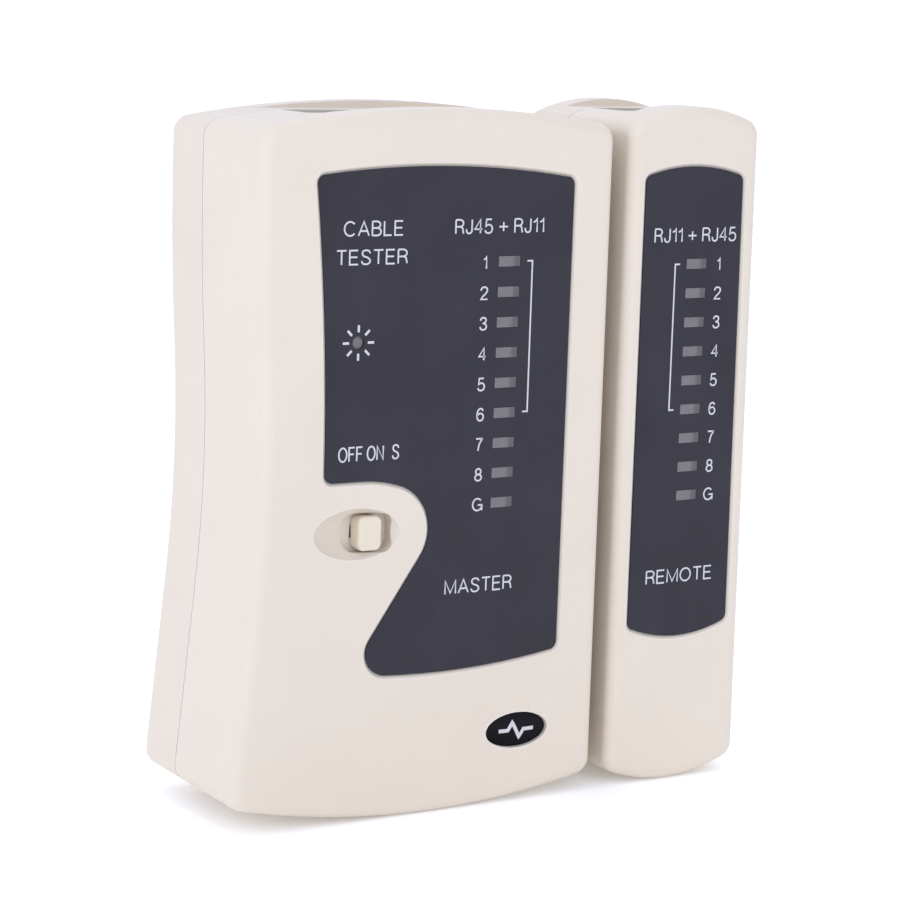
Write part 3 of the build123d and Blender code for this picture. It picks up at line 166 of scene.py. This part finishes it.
# ---- Node-tree helpers ---------------------------------------------------------------
class Shader:
    """A material under construction: adds nodes and joins them by name."""

    def __init__(self, name):
        self.material = bpy.data.materials.new(name)
        self.material.use_nodes = True
        self.tree = self.material.node_tree
        self.surface = self.tree.nodes["Principled BSDF"]
        coordinates = self.tree.nodes.new("ShaderNodeTexCoord")
        scale = self.tree.nodes.new("ShaderNodeMapping")
        scale.inputs["Scale"].default_value = (1 / MM,) * 3
        self.tree.links.new(coordinates.outputs["Object"], scale.inputs["Vector"])
        self.millimetres = scale.outputs["Vector"]

    def set(self, **values):
        """Set sockets of the surface shader to constants."""
        for name, value in values.items():
            self.surface.inputs[name.replace("_", " ")].default_value = value

    def link(self, output, socket):
        """Join an output to an input."""
        self.tree.links.new(output, socket)

    def noise(self, size, detail=3.0, vector=None):
        """Cloudy noise from 0 to 1 whose lumps are about size millimetres wide."""
        node = self.tree.nodes.new("ShaderNodeTexNoise")
        node.inputs["Scale"].default_value = 1 / size
        node.inputs["Detail"].default_value = detail
        node.inputs["Roughness"].default_value = NOISE_ROUGHNESS
        self.link(vector or self.millimetres, node.inputs["Vector"])
        return node.outputs["Fac"]

    def cells(self, size):
        """Distance to scattered points about size millimetres apart."""
        node = self.tree.nodes.new("ShaderNodeTexVoronoi")
        node.inputs["Scale"].default_value = 1 / size
        self.link(self.millimetres, node.inputs["Vector"])
        return node.outputs["Distance"]

    def stretched(self, factors):
        """The coordinates scaled along each axis, for streaks."""
        node = self.tree.nodes.new("ShaderNodeMapping")
        node.inputs["Scale"].default_value = factors
        self.link(self.millimetres, node.inputs["Vector"])
        return node.outputs["Vector"]

    def axis(self, name):
        """One coordinate in millimetres."""
        node = self.tree.nodes.new("ShaderNodeSeparateXYZ")
        self.link(self.millimetres, node.inputs["Vector"])
        return node.outputs[name]

    def remap(self, value, low, high, to_low=0.0, to_high=1.0):
        """Map a range of value onto another range, clamped."""
        node = self.tree.nodes.new("ShaderNodeMapRange")
        node.inputs["From Min"].default_value = low
        node.inputs["From Max"].default_value = high
        node.inputs["To Min"].default_value = to_low
        node.inputs["To Max"].default_value = to_high
        self.link(value, node.inputs["Value"])
        return node.outputs["Result"]

    def math(self, operation, first, second):
        """Arithmetic on two values, each a number or a socket."""
        node = self.tree.nodes.new("ShaderNodeMath")
        node.operation = operation
        for socket, value in zip(node.inputs, (first, second)):
            if isinstance(value, (int, float)):
                socket.default_value = value
            else:
                self.link(value, socket)
        return node.outputs["Value"]

    def mix(self, factor, first, second):
        """Blend two colours, each a triple or a socket."""
        node = self.tree.nodes.new("ShaderNodeMix")
        node.data_type = "RGBA"
        self.link(factor, node.inputs["Factor"])
        for socket, value in ((node.inputs["A"], first), (node.inputs["B"], second)):
            if isinstance(value, tuple):
                socket.default_value = (*value, 1.0)
            else:
                self.link(value, socket)
        return node.outputs["Result"]

    def spread(self, noise, to_low=0.0, to_high=1.0):
        """Map the range that a noise mostly fills onto another range."""
        return self.remap(noise, *NOISE_RANGE, to_low, to_high)

    def mottled(self, color, darker, lighter, size, detail=3.0):
        """A colour that drifts between two shades of itself over patches about size millimetres wide."""
        patches = self.noise(size, detail)
        return self.mix(self.spread(patches), shade(color, darker), shade(color, lighter))

    def color(self, value):
        """Drive the surface's colour."""
        self.link(value, self.surface.inputs["Base Color"])

    def roughness(self, value):
        """Drive the surface's roughness."""
        self.link(value, self.surface.inputs["Roughness"])

    def bump(self, height, depth):
        """Relief from a height of 0 to 1 that stands depth millimetres high."""
        node = self.tree.nodes.new("ShaderNodeBump")
        node.inputs["Strength"].default_value = 1.0
        node.inputs["Distance"].default_value = depth * MM
        self.link(height, node.inputs["Height"])
        if self.surface.inputs["Normal"].links:
            self.link(self.surface.inputs["Normal"].links[0].from_socket, node.inputs["Normal"])
        self.link(node.outputs["Normal"], self.surface.inputs["Normal"])

    def edges(self, radius):
        """1 on convex edges and 0 on flats, from rounding the normal over radius millimetres."""
        bevel = self.tree.nodes.new("ShaderNodeBevel")
        bevel.samples = EDGE_SAMPLES
        bevel.inputs["Radius"].default_value = radius * MM
        geometry = self.tree.nodes.new("ShaderNodeNewGeometry")
        dot = self.tree.nodes.new("ShaderNodeVectorMath")
        dot.operation = "DOT_PRODUCT"
        self.link(bevel.outputs["Normal"], dot.inputs[0])
        self.link(geometry.outputs["Normal"], dot.inputs[1])
        return self.remap(dot.outputs["Value"], 1.0, EDGE_TURN)


def shade(color, factor):
    """A colour made darker or lighter."""
    return tuple(min(1.0, channel * factor) for channel in color)


# ---- Materials -----------------------------------------------------------------------
def moulded_plastic(name, color, roughness, grain_depth=0.006):
    """ABS from a finely eroded mould: cloudy tint, fine grain, handling marks and scratches, and a painted
    highlight on convex edges.
    """
    s = Shader(name)
    body = s.mottled(color, 0.975, 1.02, size=26.0, detail=4.0)
    fleck = s.noise(size=0.9, detail=2.0)
    body = s.mix(s.remap(fleck, 0.66, 0.8, 0.0, 0.35), body, shade(color, CASE_SOIL))
    # painted highlight: convex edges turn paler, standing in for the light they catch
    s.color(s.mix(s.edges(EDGE_HIGHLIGHT_WIDTH), body, EDGE_HIGHLIGHT_COLOR))
    rub = s.noise(size=9.0, detail=5.0)
    s.roughness(s.remap(rub, 0.3, 0.75, roughness - 0.05, roughness + 0.09))
    s.bump(s.noise(size=0.22, detail=2.0), depth=grain_depth)
    scratch = s.noise(size=1.0, detail=1.0, vector=s.stretched((0.25, 1.0, 3.5)))
    s.bump(s.remap(scratch, 0.70, 0.76), depth=0.004)
    s.set(Specular_IOR_Level=0.42)
    return s.material


def printed_film(name, color):
    """Satin polyester film, screen printed: fine speckle, faint wipe marks."""
    s = Shader(name)
    body = s.mottled(color, 0.9, 1.1, size=14.0)
    speck = s.cells(size=1.4)
    body = s.mix(s.remap(speck, 0.10, 0.04, 0.0, 0.5), body, shade(color, 1.9))
    s.color(body)
    wipe = s.noise(size=2.2, detail=3.0, vector=s.stretched((1.0, 1.0, 0.12)))
    s.roughness(s.remap(wipe, 0.3, 0.75, 0.42, 0.56))
    s.bump(s.noise(size=0.14, detail=2.0), depth=0.004)
    s.set(Specular_IOR_Level=0.2)
    return s.material


def screen_ink(name, color):
    """Pale ink with a slightly grainy surface."""
    s = Shader(name)
    s.color(s.mottled(color, 0.9, 1.06, size=0.25))
    grain = s.noise(size=0.25)
    s.roughness(s.spread(grain, 0.5, 0.66))
    s.bump(grain, depth=0.006)
    return s.material


def lamp_window(name, color):
    """Diffused lens over a lamp: pale over the lamp's face, with painted shade darkening its right-hand end,
    mottled within.
    """
    s = Shader(name)
    x = s.axis("X")
    start, full = LENS_SHADE
    clear, past = LENS_PAST
    master = window_middle("master_indicator_leds")
    remote = window_middle("remote_indicator_leds")
    # painted shade: each lens darkens towards its right-hand end, where the lamp behind it is seen at an
    # angle
    on_master = s.remap(x, master + past, master + clear)
    painted_shade_master = s.math("MULTIPLY", s.remap(x, master + start, master + full), on_master)
    dark = s.math("ADD", painted_shade_master, s.remap(x, remote + start, remote + full))
    body = s.mottled(color, 0.94, 1.06, size=0.9)
    s.color(s.mix(dark, body, shade(color, 0.62)))
    s.roughness(s.spread(s.noise(size=0.4, detail=2.0), 0.3, 0.4))
    s.bump(s.noise(size=0.5, detail=2.0), depth=0.003)
    s.set(Specular_IOR_Level=0.35)
    return s.material


def window_middle(node):
    """The middle of a unit's window column, in millimetres."""
    low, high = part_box(node)
    return (low.x + high.x) / 2 / MM


def gloss_resin(name, color):
    """Poured black resin: low sheen with a few fine hairlines, and a painted reflection that makes it paler
    towards its top.
    """
    s = Shader(name)
    low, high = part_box("front_badge")
    # painted reflection: the colour grows paler towards the badge's top
    height = s.remap(s.axis("Z"), low.z / MM, high.z / MM)
    body = s.mottled(color, 0.8, 1.2, size=3.0)
    s.color(s.mix(height, body, shade(color, 4.5)))
    s.roughness(s.remap(s.noise(size=1.3, detail=4.0), 0.4, 0.8, 0.12, 0.2))
    s.bump(s.noise(size=1.6, detail=2.0), depth=0.002)
    s.set(Specular_IOR_Level=0.07)
    return s.material


def metal(name, color, roughness, size=0.5):
    """Plated metal: fine satin grain, slight tarnish."""
    s = Shader(name)
    tarnish = s.noise(size=1.8, detail=4.0)
    s.color(s.mix(s.remap(tarnish, 0.35, 0.75), color, shade(color, 0.72)))
    grain = s.noise(size)
    s.roughness(s.spread(grain, roughness - 0.08, roughness + 0.1))
    s.bump(grain, depth=0.004)
    s.set(Metallic=1.0)
    return s.material


def dull_plastic(name, color, roughness):
    """Plain moulded or sleeved component plastic."""
    s = Shader(name)
    s.color(s.mottled(color, 0.8, 1.3, size=COMPONENT_CLOUD))
    grain = s.noise(COMPONENT_GRAIN)
    s.roughness(s.spread(grain, roughness - 0.06, roughness + 0.08))
    s.bump(grain, depth=COMPONENT_RELIEF)
    return s.material


def solder_mask(name, color):
    """Green board with paler traces under the mask and dark gaps between them."""
    s = Shader(name)
    brick = s.tree.nodes.new("ShaderNodeTexBrick")
    brick.inputs["Scale"].default_value = TRACE_SCALE
    brick.inputs["Mortar Size"].default_value = TRACE_GAP
    turned = s.tree.nodes.new("ShaderNodeMapping")
    turned.inputs["Rotation"].default_value = (math.pi / 2, 0, 0)
    s.link(s.millimetres, turned.inputs["Vector"])
    s.link(turned.outputs["Vector"], brick.inputs["Vector"])
    trace = brick.outputs["Fac"]
    base = s.mottled(color, 0.85, 1.15, size=12.0)
    s.color(s.mix(trace, base, shade(color, 1.6)))
    s.roughness(s.spread(s.noise(size=3.0), 0.24, 0.36))
    s.bump(trace, depth=0.03)
    return s.material


def open_foam(name, color):
    """Open-celled foam: dark rough pores."""
    s = Shader(name)
    pore = s.cells(size=0.5)
    s.color(s.mix(s.remap(pore, 0.1, 0.5), shade(color, 0.4), shade(color, 1.4)))
    s.roughness(s.remap(pore, 0.0, 0.6, 0.85, 1.0))
    s.bump(pore, depth=0.2)
    return s.material


def battery_wrap(name, color):
    """Lacquered steel jacket in two colours, with the pale band near the terminal end."""
    s = Shader(name)
    low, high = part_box("battery_can")
    band_foot = high.z / MM - BATTERY_BAND
    band = s.remap(s.axis("Z"), band_foot - BATTERY_BAND_BLUR, band_foot)
    scuff = s.noise(size=1.0, detail=5.0, vector=s.stretched((1.0, 1.0, 0.2)))
    main = s.mix(s.remap(scuff, 0.62, 0.8, 0.0, 0.6), color, shade(color, 2.5))
    s.color(s.mix(band, main, BATTERY_BAND_COLOR))
    s.roughness(s.remap(scuff, 0.3, 0.8, 0.25, 0.5))
    s.bump(s.noise(size=2.0, detail=3.0), depth=0.01)
    s.set(Metallic=0.6)
    return s.material


IVORY = (0.705, 0.625, 0.515)
REAR_IVORY = shade(IVORY, 0.99)
FINISHES = {
    "ivory_case": moulded_plastic("ivory_case", IVORY, roughness=0.46),
    "ivory_rear": moulded_plastic("ivory_rear", REAR_IVORY, roughness=0.5, grain_depth=0.008),
    "knob_ivory": moulded_plastic("knob_ivory", (0.71, 0.635, 0.485), roughness=0.4),
    "charcoal_label": printed_film("charcoal_label", (0.031, 0.029, 0.037)),
    "badge_black": gloss_resin("badge_black", (0.003, 0.0026, 0.0032)),
    "led_lens": lamp_window("led_lens", (0.165, 0.155, 0.160)),
    "circuit_board": solder_mask("circuit_board", (0.02, 0.16, 0.06)),
    "jack_black": dull_plastic("jack_black", (0.02, 0.02, 0.022), roughness=0.36),
    "contact_gold": metal("contact_gold", (0.83, 0.60, 0.26), roughness=0.22),
    "plated_steel": metal("plated_steel", (0.62, 0.62, 0.60), roughness=0.3),
    "screw_steel": metal("screw_steel", (0.55, 0.55, 0.56), roughness=0.34, size=0.3),
    "phenolic_brown": dull_plastic("phenolic_brown", (0.24, 0.11, 0.05), roughness=0.6),
    "chip_black": dull_plastic("chip_black", (0.02, 0.02, 0.02), roughness=0.62),
    "resistor_body": dull_plastic("resistor_body", (0.55, 0.42, 0.26), roughness=0.3),
    "capacitor_sleeve": dull_plastic("capacitor_sleeve", (0.03, 0.05, 0.12), roughness=0.28),
    "diode_glass": dull_plastic("diode_glass", (0.55, 0.20, 0.08), roughness=0.12),
    "battery_jacket": battery_wrap("battery_jacket", (0.03, 0.033, 0.04)),
    "snap_black": dull_plastic("snap_black", (0.03, 0.03, 0.03), roughness=0.5),
    "lead_red": dull_plastic("lead_red", (0.5, 0.03, 0.02), roughness=0.42),
    "lead_black": dull_plastic("lead_black", (0.02, 0.02, 0.02), roughness=0.42),
    "foam": open_foam("foam", (0.06, 0.06, 0.06)),
}
PRINT_INK = screen_ink("print_ink", (0.60, 0.585, 0.60))


def finish_nodes():
    """Give each CAD node the finish of its own slot."""
    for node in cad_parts.values():
        for index, material in enumerate(node.data.materials):
            slot = material.name.split(".")[0]
            node.data.materials[index] = FINISHES[slot]


# ---- Printed marks -------------------------------------------------------------------
def new_piece(name, mesh, body, material):
    """A visible piece from a finished mesh, riding on one body."""
    data = bpy.data.meshes.new(name)
    mesh.to_mesh(data)
    data.materials.append(material)
    piece = bpy.data.objects.new(name, data)
    bpy.context.scene.collection.objects.link(piece)
    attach(piece, body)
    return piece


def arc(center, radii, start, end):
    """Points along part of an ellipse, between two angles in degrees."""
    steps = max(ARC_PIECES, int(abs(end - start) / ARC_TURN))
    turns = [math.radians(start + (end - start) * step / steps) for step in range(steps + 1)]
    return [(center[0] + radii[0] * math.cos(t), center[1] + radii[1] * math.sin(t)) for t in turns]


def curve(*points):
    """A smooth line through the points (Catmull-Rom)."""
    knots = [Vector(point) for point in (points[0], *points, points[-1])]
    line = []
    for before, start, end, after in zip(knots, knots[1:], knots[2:], knots[3:]):
        for step in range(CURVE_PIECES):
            t = step / CURVE_PIECES
            pull = (2 * start + (end - before) * t + (2 * before - 5 * start + 4 * end - after) * t ** 2
                    + (3 * start - before - 3 * end + after) * t ** 3)
            line.append(tuple(pull / 2))
    return line + [points[-1]]


def bowl(top, bottom, reach):
    """The half-round side of letters such as B and R, with both ends on the stem."""
    middle = (top + bottom) / 2
    radii = (BOWL_RADIUS, (top - bottom) / 2)
    return [(0, top), *arc((reach - BOWL_RADIUS, middle), radii, 90, -90), (0, bottom)]


# Each sign: its width, then its strokes, for a height of 1.
LETTERS = {
    " ": (0.1, []),
    "+": (0.66, [[(0, 0.45), (0.66, 0.45)], [(0.33, 0.12), (0.33, 0.78)]]),
    "A": (0.70, [[(0, 0), (0.35, 1), (0.7, 0)], [(0.12, 0.33), (0.58, 0.33)]]),
    "B": (0.58, [[(0, 0), (0, 1)], bowl(1, 0.53, 0.53), bowl(0.53, 0, 0.58)]),
    "C": (0.72, [arc((0.38, 0.5), (0.38, 0.5), 42, 318)]),
    "E": (0.54, [[(0.52, 1), (0, 1), (0, 0), (0.54, 0)], [(0, 0.52), (0.48, 0.52)]]),
    "F": (0.52, [[(0.52, 1), (0, 1), (0, 0)], [(0, 0.52), (0.45, 0.52)]]),
    "G": (0.74, [arc((0.38, 0.5), (0.38, 0.5), 42, 325), [(0.42, 0.46), (0.74, 0.46), (0.74, 0.0)]]),
    "J": (0.42, [[(0.42, 1), *arc((0.21, 0.24), (0.21, 0.24), 0, -180), (0, 0.32)]]),
    "L": (0.50, [[(0, 1), (0, 0), (0.5, 0)]]),
    "M": (0.76, [[(0, 0), (0, 1), (0.38, 0.06), (0.76, 1), (0.76, 0)]]),
    "N": (0.62, [[(0, 0), (0, 1), (0.62, 0), (0.62, 1)]]),
    "O": (0.76, [arc((0.38, 0.5), (0.38, 0.5), 0, 360)]),
    "R": (0.58, [[(0, 0), (0, 1)], bowl(1, 0.5, 0.56),
                 curve((0.33, 0.5), (0.5, 0.4), (0.54, 0.2), (0.58, 0))]),
    "S": (0.56, [curve((0.55, 0.78), (0.46, 0.95), (0.28, 1), (0.1, 0.94), (0.04, 0.76), (0.14, 0.58),
                       (0.42, 0.45), (0.55, 0.25), (0.46, 0.06), (0.27, 0), (0.08, 0.06), (0, 0.24))]),
    "T": (0.60, [[(0, 1), (0.6, 1)], [(0.3, 1), (0.3, 0)]]),
    "1": (0.28, [[(0, 0.74), (0.18, 0.82), (0.28, 1), (0.28, 0)]]),
    "2": (0.56, [[*curve((0, 0.72), (0.08, 0.92), (0.28, 1), (0.48, 0.92), (0.54, 0.72), (0.42, 0.48),
                         (0.18, 0.25)), (0, 0), (0.56, 0)]]),
    "3": (0.54, [curve((0.02, 0.76), (0.1, 0.94), (0.27, 1), (0.44, 0.93), (0.5, 0.76), (0.42, 0.59),
                       (0.22, 0.53)),
                 curve((0.22, 0.53), (0.46, 0.45), (0.54, 0.26), (0.46, 0.07), (0.26, 0), (0.07, 0.07),
                       (0, 0.25))]),
    "4": (0.56, [[(0.42, 0), (0.42, 1), (0, 0.3), (0.56, 0.3)]]),
    "5": (0.54, [[(0.48, 1), (0.1, 1), *curve((0.04, 0.5), (0.27, 0.62), (0.47, 0.52), (0.54, 0.32),
                                              (0.46, 0.08), (0.26, 0), (0.07, 0.06), (0, 0.22))]]),
    "6": (0.54, [curve((0.5, 0.8), (0.42, 0.95), (0.28, 1), (0.1, 0.88), (0, 0.55), (0.02, 0.25),
                       (0.12, 0.05), (0.28, 0), (0.46, 0.08), (0.54, 0.3), (0.46, 0.52), (0.28, 0.6),
                       (0.1, 0.52), (0.02, 0.35))]),
    "7": (0.54, [[(0, 1), (0.54, 1), *curve((0.54, 1), (0.35, 0.7), (0.24, 0.4), (0.18, 0))]]),
    "8": (0.54, [arc((0.27, 0.76), (0.22, 0.24), 0, 360), arc((0.27, 0.26), (0.27, 0.26), 0, 360)]),
}


def ribbon_sides(points, width):
    """The two edges of a line of constant width, with limited mitres at its corners."""
    line = [Vector(point) for index, point in enumerate(points) if index == 0 or point != points[index - 1]]
    ways = [(end - start).normalized() for start, end in zip(line, line[1:])]
    left, right = [], []
    for index, point in enumerate(line):
        before = ways[max(index - 1, 0)]
        after = ways[min(index, len(ways) - 1)]
        across = (before + after).normalized().orthogonal()
        stretch = 1 / max(abs(across.dot(before.orthogonal())), 1 / MITRE_LIMIT)
        left.append(point + across * width / 2 * stretch)
        right.append(point - across * width / 2 * stretch)
    return left, right


def add_ribbon(mesh, points, width, front, back_y):
    """A thin raised line; front gives its face's y for a point, all in metres but width and points."""
    rails = []
    for side in ribbon_sides(points, width):
        rails.append([mesh.verts.new((p.x * MM, front(p), p.y * MM)) for p in side])
        rails.append([mesh.verts.new((p.x * MM, back_y, p.y * MM)) for p in side])
    left, left_back, right, right_back = rails
    for pair in ((left, right), (left_back, left), (right, right_back)):
        for index in range(len(left) - 1):
            mesh.faces.new((pair[0][index], pair[0][index + 1], pair[1][index + 1], pair[1][index]))
    for end in (0, -1):
        mesh.faces.new((left[end], right[end], right_back[end], left_back[end]))


class Print:
    """Ink on one label's face, gathered into one thin mesh."""

    def __init__(self, label_node):
        self.mesh = bmesh.new()
        self.face_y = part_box(label_node)[0].y
        self.strokes = 0

    def line(self, points, width):
        """One inked line; neighbours differ a little in height, so that their faces never coincide."""
        self.strokes += 1
        front_y = self.face_y - (PRINT_RISE + PRINT_STEP * (self.strokes % PRINT_LEVELS)) * MM
        add_ribbon(self.mesh, points, width, lambda _: front_y, self.face_y)

    def text(self, words, x_range, z_range):
        """Words stretched to fill a rectangle, in millimetres."""
        advance = sum(LETTERS[sign][0] for sign in words) + LETTER_SPACE * (len(words) - 1)
        x_scale = (x_range[1] - x_range[0] - LINE_WIDTH) / advance
        z_scale = z_range[1] - z_range[0] - LINE_WIDTH
        left = x_range[0] + LINE_WIDTH / 2
        bottom = z_range[0] + LINE_WIDTH / 2
        for sign in words:
            width, strokes = LETTERS[sign]
            for stroke in strokes:
                self.line([(left + x * x_scale, bottom + z * z_scale) for x, z in stroke], LINE_WIDTH)
            left += (width + LETTER_SPACE) * x_scale

    def finish(self, name, body):
        """Turn the gathered lines into one piece."""
        bmesh.ops.recalc_face_normals(self.mesh, faces=self.mesh.faces)
        new_piece(name, self.mesh, body, PRINT_INK)


def window_heights(node):
    """The middles of a unit's windows, from the top down, in millimetres."""
    low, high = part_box(node)
    points = [vertex.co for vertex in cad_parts[node].data.vertices]
    faces = [point.z / MM for point in points if point.y < low.y + WINDOW_FACE * MM]
    top = max(faces) - WINDOW_HEIGHT / 2
    pitch = (max(faces) - min(faces) - WINDOW_HEIGHT) / (WINDOW_COUNT - 1)
    return [top - pitch * index for index in range(WINDOW_COUNT)]


def print_digits(marks, heights, x):
    """A number beside each window, and a G beside the last one."""
    for sign, z in zip("12345678G", heights):
        half_width = DIGIT_WIDTH * LETTERS[sign][0] / LETTERS["8"][0] / 2
        foot = z - DIGIT_DROP - DIGIT_HEIGHT / 2
        marks.text(sign, (x - half_width, x + half_width), (foot, foot + DIGIT_HEIGHT))


def print_bracket(marks, heights, x, tick):
    """The line that ties windows 1 to 6 together, with a tick at each end."""
    top, bottom = heights[0], heights[BRACKET_LAST - 1]
    half = LINE_WIDTH / 2
    marks.line([(x, top + half), (x, bottom - half)], LINE_WIDTH)
    for z in (top, bottom):
        marks.line([(x, z), (x + tick, z)], LINE_WIDTH)


def print_sun(marks):
    """Rays round the power lamp's window."""
    low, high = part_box("power_led")
    center = Vector((low.x + high.x, low.z + high.z)) / 2 / MM
    for ray in range(SUN_RAYS):
        turn = 2 * math.pi * ray / SUN_RAYS
        way = Vector((math.cos(turn), math.sin(turn)))
        ends = [tuple(center + way * reach) for reach in (SUN_RAY_FROM, SUN_RAY_TO)]
        marks.line(ends, SUN_RAY_WIDTH)


def print_words(marks, words):
    """Each row of a table of words, in capitals of one height."""
    for text, x_range, foot in words:
        marks.text(text, x_range, (foot, foot + CAPITALS))


def master_print():
    """All the ink on the master's label."""
    marks = Print("master_label")
    heights = window_heights("master_indicator_leds")
    print_words(marks, MASTER_WORDS)
    print_digits(marks, heights, MASTER_DIGITS_X)
    print_bracket(marks, heights, MASTER_BRACKET_X, -BRACKET_TICK)
    print_sun(marks)
    marks.finish("master_label_print", MASTER)


def remote_print():
    """All the ink on the remote's label."""
    marks = Print("remote_label")
    heights = window_heights("remote_indicator_leds")
    print_words(marks, REMOTE_WORDS)
    print_digits(marks, heights, REMOTE_DIGITS_X)
    print_bracket(marks, heights, REMOTE_BRACKET_X, BRACKET_TICK)
    marks.finish("remote_label_print", REMOTE)


# ---- Badge ---------------------------------------------------------------------------
def badge_surface(low, high):
    """The height of the badge's domed face at a point in millimetres."""
    center = (low + high) / 2
    half = (high - low) / 2

    def face_y(point):
        share = ((point.x * MM - center.x) / half.x) ** 2 + ((point.y * MM - center.z) / half.z) ** 2
        return low.y + (BADGE_RISE * min(share, 1.0) + PRINT_RISE) * MM

    return face_y


def badge_dome():
    """A domed oval in place of the CAD badge, in its own box."""
    low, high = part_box("front_badge")
    center = (low + high) / 2
    half = (high - low) / 2
    face_y = badge_surface(low, high)
    turns = [2 * math.pi * step / BADGE_SEGMENTS for step in range(BADGE_SEGMENTS)]
    levels = [(ring / BADGE_RINGS, None) for ring in range(1, BADGE_RINGS)]
    levels += [(BADGE_OUTER_RING, None), (1.0, low.y + (BADGE_RISE + BADGE_LIP) * MM), (1.0, high.y)]
    mesh = bmesh.new()
    rings = []
    for share, y in levels:
        spots = [Vector((center.x + half.x * share * math.cos(t), center.z + half.z * share * math.sin(t)))
                 for t in turns]
        rings.append([mesh.verts.new((p.x, y or face_y(p / MM), p.y)) for p in spots])
    peak = mesh.verts.new((center.x, face_y(Vector((center.x, center.z)) / MM), center.z))
    for index in range(BADGE_SEGMENTS):
        other = (index + 1) % BADGE_SEGMENTS
        mesh.faces.new((peak, rings[0][index], rings[0][other]))
        for inner, outer in zip(rings, rings[1:]):
            mesh.faces.new((inner[index], outer[index], outer[other], inner[other]))
    mesh.faces.new(rings[-1])
    bmesh.ops.recalc_face_normals(mesh, faces=mesh.faces)
    for face in mesh.faces:
        face.smooth = len(face.verts) < BADGE_SEGMENTS
    piece = new_piece("badge_dome", mesh, MASTER, FINISHES["badge_black"])
    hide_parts("front_badge")


def badge_mark():
    """A plain pulse line across the badge, which follows its dome."""
    low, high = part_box("front_badge")
    center = (low + high) / 2 / MM
    face_y = badge_surface(low, high)
    points = []
    for start, end in zip(BADGE_MARK, BADGE_MARK[1:]):
        steps = [step / BADGE_MARK_STEPS for step in range(BADGE_MARK_STEPS)]
        points += [tuple(Vector(start).lerp(Vector(end), share)) for share in steps]
    points.append(BADGE_MARK[-1])
    placed = [(center.x + x, center.z + z) for x, z in points]
    mesh = bmesh.new()
    add_ribbon(mesh, placed, BADGE_LINE, lambda p: face_y(p) - PRINT_RISE * MM, low.y + BADGE_RISE * MM)
    bmesh.ops.recalc_face_normals(mesh, faces=mesh.faces)
    new_piece("badge_mark", mesh, MASTER, PRINT_INK)


# ---- Stage ---------------------------------------------------------------------------
def add_floor():
    """A wide sheet of white paper under the object."""
    sheet = bmesh.new()
    corners = [(-1, -1), (1, -1), (1, 1), (-1, 1)]
    sheet.faces.new([sheet.verts.new((x * FLOOR_HALF, y * FLOOR_HALF, 0)) for x, y in corners])
    mesh = bpy.data.meshes.new("floor")
    sheet.to_mesh(mesh)
    floor = bpy.data.objects.new("floor", mesh)
    bpy.context.scene.collection.objects.link(floor)
    floor.location.z = cad_low.z
    s = Shader("floor_paper")
    s.color(s.mottled(FLOOR_WHITE, 0.99, 1.0, size=40.0))
    s.set(Roughness=0.9, Specular_IOR_Level=0.1)
    s.set(Emission_Color=(1.0, 1.0, 1.0, 1.0), Emission_Strength=FLOOR_GLOW)
    mesh.materials.append(s.material)


def add_softbox(name, place, size, power):
    """A rectangular lamp that faces the object's middle."""
    light = bpy.data.lights.new(name, "AREA")
    light.shape = "RECTANGLE"
    light.size, light.size_y = size
    light.energy = power
    lamp = bpy.data.objects.new(name, light)
    bpy.context.scene.collection.objects.link(lamp)
    lamp.location = place
    lamp.rotation_mode = "QUATERNION"
    lamp.rotation_quaternion = ((cad_low + cad_high) / 2 - Vector(place)).to_track_quat("-Z", "Y")


def add_sky():
    """An even pale surround that falls off towards the front right, for softly shaded right flanks."""
    world = bpy.data.worlds.new("studio")
    world.use_nodes = True
    tree = world.node_tree
    direction = tree.nodes.new("ShaderNodeTexCoord")
    toward = tree.nodes.new("ShaderNodeVectorMath")
    toward.operation = "DOT_PRODUCT"
    toward.inputs[1].default_value = SKY_DARK_SIDE
    tree.links.new(direction.outputs["Generated"], toward.inputs[0])
    fall = tree.nodes.new("ShaderNodeMapRange")
    fall.inputs["From Min"].default_value, fall.inputs["From Max"].default_value = SKY_FALL
    tree.links.new(toward.outputs["Value"], fall.inputs["Value"])
    blend = tree.nodes.new("ShaderNodeMix")
    blend.data_type = "RGBA"
    tree.links.new(fall.outputs["Result"], blend.inputs["Factor"])
    blend.inputs["A"].default_value = (*SKY_COLOR, 1.0)
    blend.inputs["B"].default_value = (*shade(SKY_COLOR, SKY_DARK), 1.0)
    background = tree.nodes["Background"]
    tree.links.new(blend.outputs["Result"], background.inputs["Color"])
    background.inputs["Strength"].default_value = SKY_STRENGTH
    bpy.context.scene.world = world


def add_camera():
    """A long lens from the object's front left, a little above it."""
    back = Vector((
        -math.sin(CAMERA_AZIMUTH) * math.cos(CAMERA_ELEVATION),
        -math.cos(CAMERA_AZIMUTH) * math.cos(CAMERA_ELEVATION),
        math.sin(CAMERA_ELEVATION),
    ))
    right = (-back).cross(Vector((0, 0, 1))).normalized()
    up = right.cross(-back)
    tilted_right = right * math.cos(CAMERA_ROLL) + up * math.sin(CAMERA_ROLL)
    tilted_up = up * math.cos(CAMERA_ROLL) - right * math.sin(CAMERA_ROLL)
    data = bpy.data.cameras.new("camera")
    data.lens = CAMERA_LENS
    data.sensor_width = CAMERA_SENSOR
    data.clip_start = CAMERA_NEAR
    camera = bpy.data.objects.new("camera", data)
    bpy.context.scene.collection.objects.link(camera)
    turn = Matrix((tilted_right, tilted_up, back)).transposed().to_4x4()
    camera.matrix_world = Matrix.Translation(CAMERA_AIM + back * CAMERA_DISTANCE) @ turn
    bpy.context.scene.camera = camera


finish_nodes()
badge_dome()
badge_mark()
master_print()
remote_print()
add_camera()
add_floor()
add_sky()
for lamp_settings in LAMPS:
    add_softbox(*lamp_settings)
bpy.context.scene.view_settings.view_transform = "Standard"
